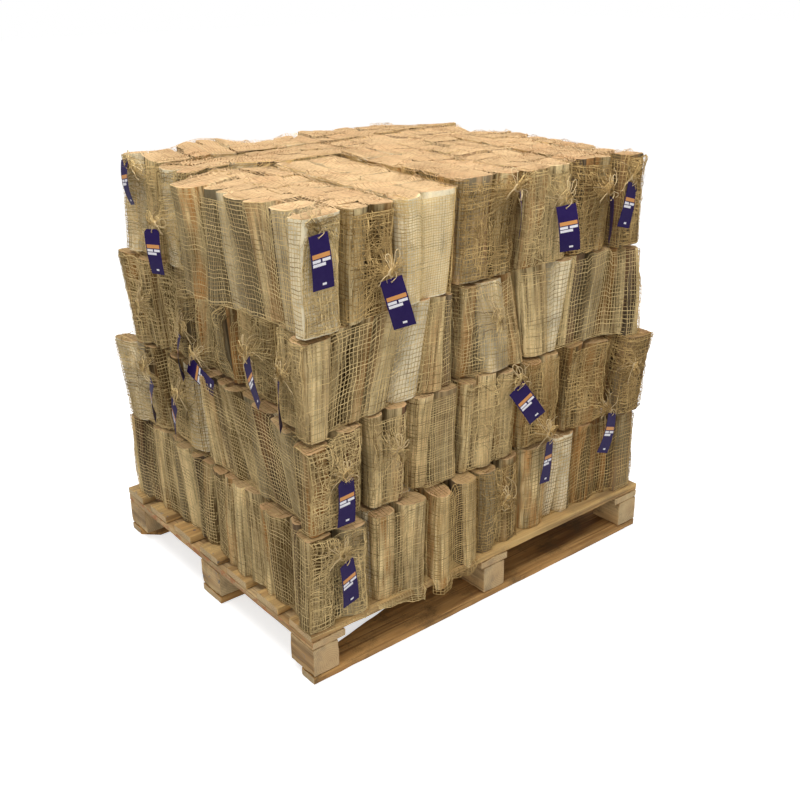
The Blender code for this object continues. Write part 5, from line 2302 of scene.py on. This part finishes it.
class RoughBoard:
    """A sawn board or block, with worn arrises, uneven faces and its end grain."""

    def __init__(self, node: str, grain_axis: int, step: float, wear: float, seed: int,
                 cuts: tuple = (0, ((0.0, 0.0), (0.0, 0.0)))) -> None:
        """Make the board in its node's own box.

        Args:
            node: The node that it stands for.
            grain_axis: The axis that its fibres follow.
            step: The distance between its sections.
            wear: How deep its arrises are worn.
            seed: For its random numbers.
            cuts: 1 or -1 where the corners of its high or low long side are cut off, and how far
                along and across each of the two cuts goes.
        """
        self.low, self.high = (np.array(corner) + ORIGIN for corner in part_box(node))
        self.axis, self.wear = grain_axis, wear
        self.cut_side, self.cuts = cuts
        self.rng = np.random.default_rng(seed)
        self.draft = MeshDraft()
        self.others = [axis for axis in range(3) if axis != grain_axis]
        self.places = self.section_places(self.high[grain_axis] - self.low[grain_axis], step)
        self.add_faces()

    def section_places(self, length: float, step: float) -> np.ndarray:
        """Where the sections stand along the board, closer at the ends and at cut corners."""
        even = stations(length, step)
        extra = [0.0015, length - 0.0015]
        if self.cut_side:
            extra += [self.cuts[0][0], length - self.cuts[1][0]]
        return np.unique(np.round(np.concatenate([even, extra]), 5))

    def outline(self) -> np.ndarray:
        """The section's outline from -1 to 1 on both axes, with a worn arris at each corner."""
        size = (self.high - self.low)[self.others]
        ease = self.wear / size * 2
        flats = [max(1, round(side / 0.016)) for side in size]
        points = []
        corners = np.array(((-1.0, -1.0), (1.0, -1.0), (1.0, 1.0), (-1.0, 1.0)))
        for number, corner in enumerate(corners):
            axis = number % 2
            eased = np.eye(2) * ease
            entry = corner - corner * eased[1 - axis]
            leave, end = (place - place * eased[axis] for place in (corner, corners[(number + 1) % 4]))
            points += [entry, *(between(leave, end, step / flats[axis]) for step in range(flats[axis]))]
        return np.array(points)

    def add_faces(self) -> None:
        """Add the long faces, and both ends."""
        outline = self.outline()
        count, sides = len(self.places), len(outline)
        half = (self.high - self.low)[self.others] / 2
        middle = (self.high + self.low)[self.others] / 2
        near_corner = np.min(np.abs(1.0 - np.abs(outline)) * half, axis=1) < self.wear * 1.2
        worn = np.abs(smooth_noise(self.rng, (count, sides), (max(2, count // 2), sides), True))
        near_corner &= np.min(np.abs(outline), axis=1) > 0.5
        dents = np.where(near_corner[None], worn * self.wear * 0.9, 0)
        waves = (smooth_noise(self.rng, (count, sides), (max(2, count // 4), 6), True) - 1.0) * 0.00035
        ends = np.zeros(count)
        ends[0] = ends[-1] = 0.0012
        inward = dents - waves + ends[:, None]
        section = outline[None] * half * (1.0 - inward[..., None] / half)
        if self.cut_side:
            section = self.cut_corners(section, half)
        rings = np.zeros((count, sides, 3))
        rings[..., self.others[0]] = middle[0] + section[..., 0]
        rings[..., self.others[1]] = middle[1] + section[..., 1]
        rings[..., self.axis] = self.low[self.axis] + self.places[:, None]
        saw = self.rng.normal(0.0, 0.00025, (2, sides))
        rings[0, :, self.axis] += np.abs(saw[0])
        rings[-1, :, self.axis] -= np.abs(saw[1])
        points = rings.reshape(-1, 3)
        faces = ring_faces(count, sides)
        if self.axis == 1:
            faces = faces[:, ::-1]
        shift = self.rng.uniform(-5.0, 5.0, 3)
        self.draft.add(points, [faces], 0, grain=self.grain_of(points, middle) + shift)
        pith = self.rng.uniform(0.02, 0.08) * unit(self.rng.normal(size=2))
        for number, ring in ((0, rings[0]), (1, rings[-1])):
            under = (number == 0) != (self.axis == 1)
            centre = ring.mean(0)
            capped = np.concatenate([ring, centre[None]])
            grain = self.grain_of(capped, middle)
            grain[:, :2] -= pith
            self.draft.add(capped, [fan_faces(0, sides, sides, under)], 1, grain=grain)

    def cut_corners(self, section: np.ndarray, half: np.ndarray) -> np.ndarray:
        """Narrow the sections near both ends on the side whose corners are cut off."""
        length = self.places[-1]
        gone = [across * np.clip(1.0 - run / along, 0.0, 1.0)
                for run, (along, across) in zip((self.places, length - self.places), self.cuts)]
        missing = np.maximum(*gone)
        share = (section[..., 0] / half[0] * self.cut_side + 1.0) / 2
        section[..., 0] -= self.cut_side * share * missing[:, None]
        return section

    def grain_of(self, points: np.ndarray, middle: np.ndarray) -> np.ndarray:
        """Places across the fibres, and then along them."""
        across = points[:, self.others] - middle
        return np.concatenate([across, points[:, [self.axis]]], 1)


class Pallet:
    """The pallet's boards and blocks with their nails."""

    NAIL_RADIUS = 0.0042
    # The distance between a board's or a block's sections, and how deep its arrises are worn
    BOARD_GRID = (0.040, 0.0018)
    BLOCK_GRID = (0.013, 0.0024)

    def __init__(self, wardrobe: Wardrobe, nodes: Iterable[str]) -> None:
        """Make every board and block that the frame holds."""
        self.wardrobe = wardrobe
        self.count = 0
        for node in sorted(nodes):
            kind, number = node.rsplit("_", 1)
            if kind not in wardrobe.boards:
                continue
            axis = 0 if kind in ("deck_board", "skid_board") else 1
            step, wear = self.BLOCK_GRID if kind == "block" else self.BOARD_GRID
            cuts = [SKID_CUTS[int(number)]] if kind == "skid_board" and int(number) in SKID_CUTS else []
            board = RoughBoard(node, axis, step, wear, 300 + 17 * int(number) + len(kind), *cuts)
            piece = board.draft.make("rough_" + node, [wardrobe.boards[kind], wardrobe.end_grain], False)
            piece.data.shade_smooth()
            piece.data.set_sharp_from_angle(angle=math.radians(35))
            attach(piece, "root")
            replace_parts(piece, node)
            self.count += 1
        self.add_nails()

    def add_nails(self) -> None:
        """Drive nails through the deck boards where they cross the stringers."""
        rng = np.random.default_rng(77)
        draft = MeshDraft()
        angles = np.arange(8) * math.pi / 4
        for board in range(1, 8):
            low, high = (np.array(corner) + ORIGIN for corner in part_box(f"deck_board_{board}"))
            for stringer in range(1, 4):
                edge = [np.array(corner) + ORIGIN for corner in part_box(f"stringer_board_{stringer}")]
                for share in (0.3, 0.7):
                    x = between(edge[0][0], edge[1][0], rng.uniform(0.25, 0.75))
                    y = between(low[1], high[1], share + rng.uniform(-0.06, 0.06))
                    circle = np.stack([np.cos(angles), np.sin(angles), np.zeros(8)], 1) * self.NAIL_RADIUS
                    middle = np.array((x, y, high[2]))
                    rings = [middle + circle - (0, 0, 0.0015), middle + circle + (0, 0, 0.0001),
                             middle + circle * 0.7 + (0, 0, 0.0005)]
                    points = np.concatenate([*rings, middle[None] + (0, 0, 0.0005)])
                    draft.add(points, [ring_faces(3, 8), fan_faces(16, 8, 24, False)])
        piece = draft.make("deck_nails", [self.wardrobe.nail])
        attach(piece, "root")


class Studio:
    """The pale floor, the soft light and the camera."""

    def __init__(self) -> None:
        """Set the scene up."""
        self.add_floor()
        self.add_light()
        self.add_world()
        self.add_camera()
        bpy.context.scene.view_settings.view_transform = "Standard"

    def add_floor(self) -> None:
        """Lay a wide pale floor that the camera sees as nearly white."""
        bpy.ops.mesh.primitive_plane_add(size=60.0, location=(0.0, 0.0, -0.0005))
        floor = bpy.context.object
        floor.name = "studio_floor"
        material = bpy.data.materials.new("pale_floor")
        material.use_nodes = True
        board = NodeBoard(material.node_tree)
        shader = material.node_tree.nodes["Principled BSDF"]
        place = board.add("ShaderNodeTexCoord").outputs["Object"]
        colour = board.mix(board.noise(place, 2.0), (0.70, 0.70, 0.70), (0.74, 0.74, 0.74))
        seen = board.add("ShaderNodeLightPath").outputs["Is Camera Ray"]
        glow = board.times(seen, 0.64)
        for name, value in (("Base Color", colour), ("Emission Color", (1.0, 1.0, 1.0)),
                            ("Emission Strength", glow), ("Roughness", 0.9), ("Specular IOR Level", 0.1)):
            board.feed(shader.inputs[name], value)
        floor.data.materials.append(material)

    def add_light(self) -> None:
        """Hang a large soft light overhead, and a weaker one to the front."""
        lights = (
            ("overhead_softbox", (-0.2, -0.3, 3.0), 3.0, 118.0, (0.0, 0.0, 0.6)),
            ("front_softbox", (-3.4, -3.6, 2.3), 2.0, 30.0, (0.0, 0.0, 0.6)),
        )
        for name, place, size, power, target in lights:
            data = bpy.data.lights.new(name, "AREA")
            data.shape = "DISK"
            data.size = size
            data.energy = power
            light = bpy.data.objects.new(name, data)
            light.location = place
            light.rotation_mode = "QUATERNION"
            light.rotation_quaternion = (Vector(target) - Vector(place)).to_track_quat("-Z", "Y")
            bpy.context.scene.collection.objects.link(light)

    def add_world(self) -> None:
        """Surround it with white, softer as light than as background."""
        world = bpy.data.worlds.new("white_studio")
        bpy.context.scene.world = world
        world.use_nodes = True
        board = NodeBoard(world.node_tree)
        sky = world.node_tree.nodes["Background"]
        path = board.add("ShaderNodeLightPath")
        strength = board.add("ShaderNodeMapRange", {0: path.outputs["Is Camera Ray"], 3: 0.52, 4: 1.0})
        sky.inputs["Color"].default_value = (1.0, 1.0, 1.0, 1.0)
        world.node_tree.links.new(strength.outputs[0], sky.inputs["Strength"])

    def add_camera(self) -> None:
        """Stand the camera where the photograph was taken from."""
        yaw, pitch, roll = (math.radians(a) for a in (CAMERA_YAW, CAMERA_PITCH, CAMERA_ROLL))
        forward = Vector((math.cos(pitch) * math.cos(yaw), math.cos(pitch) * math.sin(yaw), math.sin(pitch)))
        right = forward.cross(Vector((0, 0, 1))).normalized()
        up = right.cross(forward)
        turned_right = right * math.cos(roll) + up * math.sin(roll)
        turned_up = up * math.cos(roll) - right * math.sin(roll)
        data = bpy.data.cameras.new("photo_camera")
        data.lens = CAMERA_LENS
        data.clip_end = 60.0
        camera = bpy.data.objects.new("photo_camera", data)
        turn = Matrix((turned_right, turned_up, -forward)).transposed().to_4x4()
        camera.matrix_world = Matrix.Translation(CAMERA_PLACE) @ turn
        bpy.context.scene.collection.objects.link(camera)
        bpy.context.scene.camera = camera


def main() -> None:
    """Load the frame, build the pallet and its load, and note both models' sizes."""
    logging.basicConfig(level=logging.INFO, format="%(name)s: %(message)s")
    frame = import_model()
    Studio()
    wardrobe = Wardrobe()
    pallet = Pallet(wardrobe, frame["nodes"])
    LOG.info("pallet: %d boards and blocks", pallet.count)
    totals: Counter = Counter()
    loops = []
    for bag in lay_out_bags():
        netted = NettedBag(bag, wardrobe)
        totals.update(netted.counts)
        if netted.loop_length:
            loops.append(netted.loop_length)
        LOG.info("%s: %s", bag.title, netted.counts)
    LOG.info("%d triangles: %s; tag loops are %.3f to %.3f m", sum(totals.values()), dict(totals),
             min(loops), max(loops))


if __name__ == "__main__":
    main()
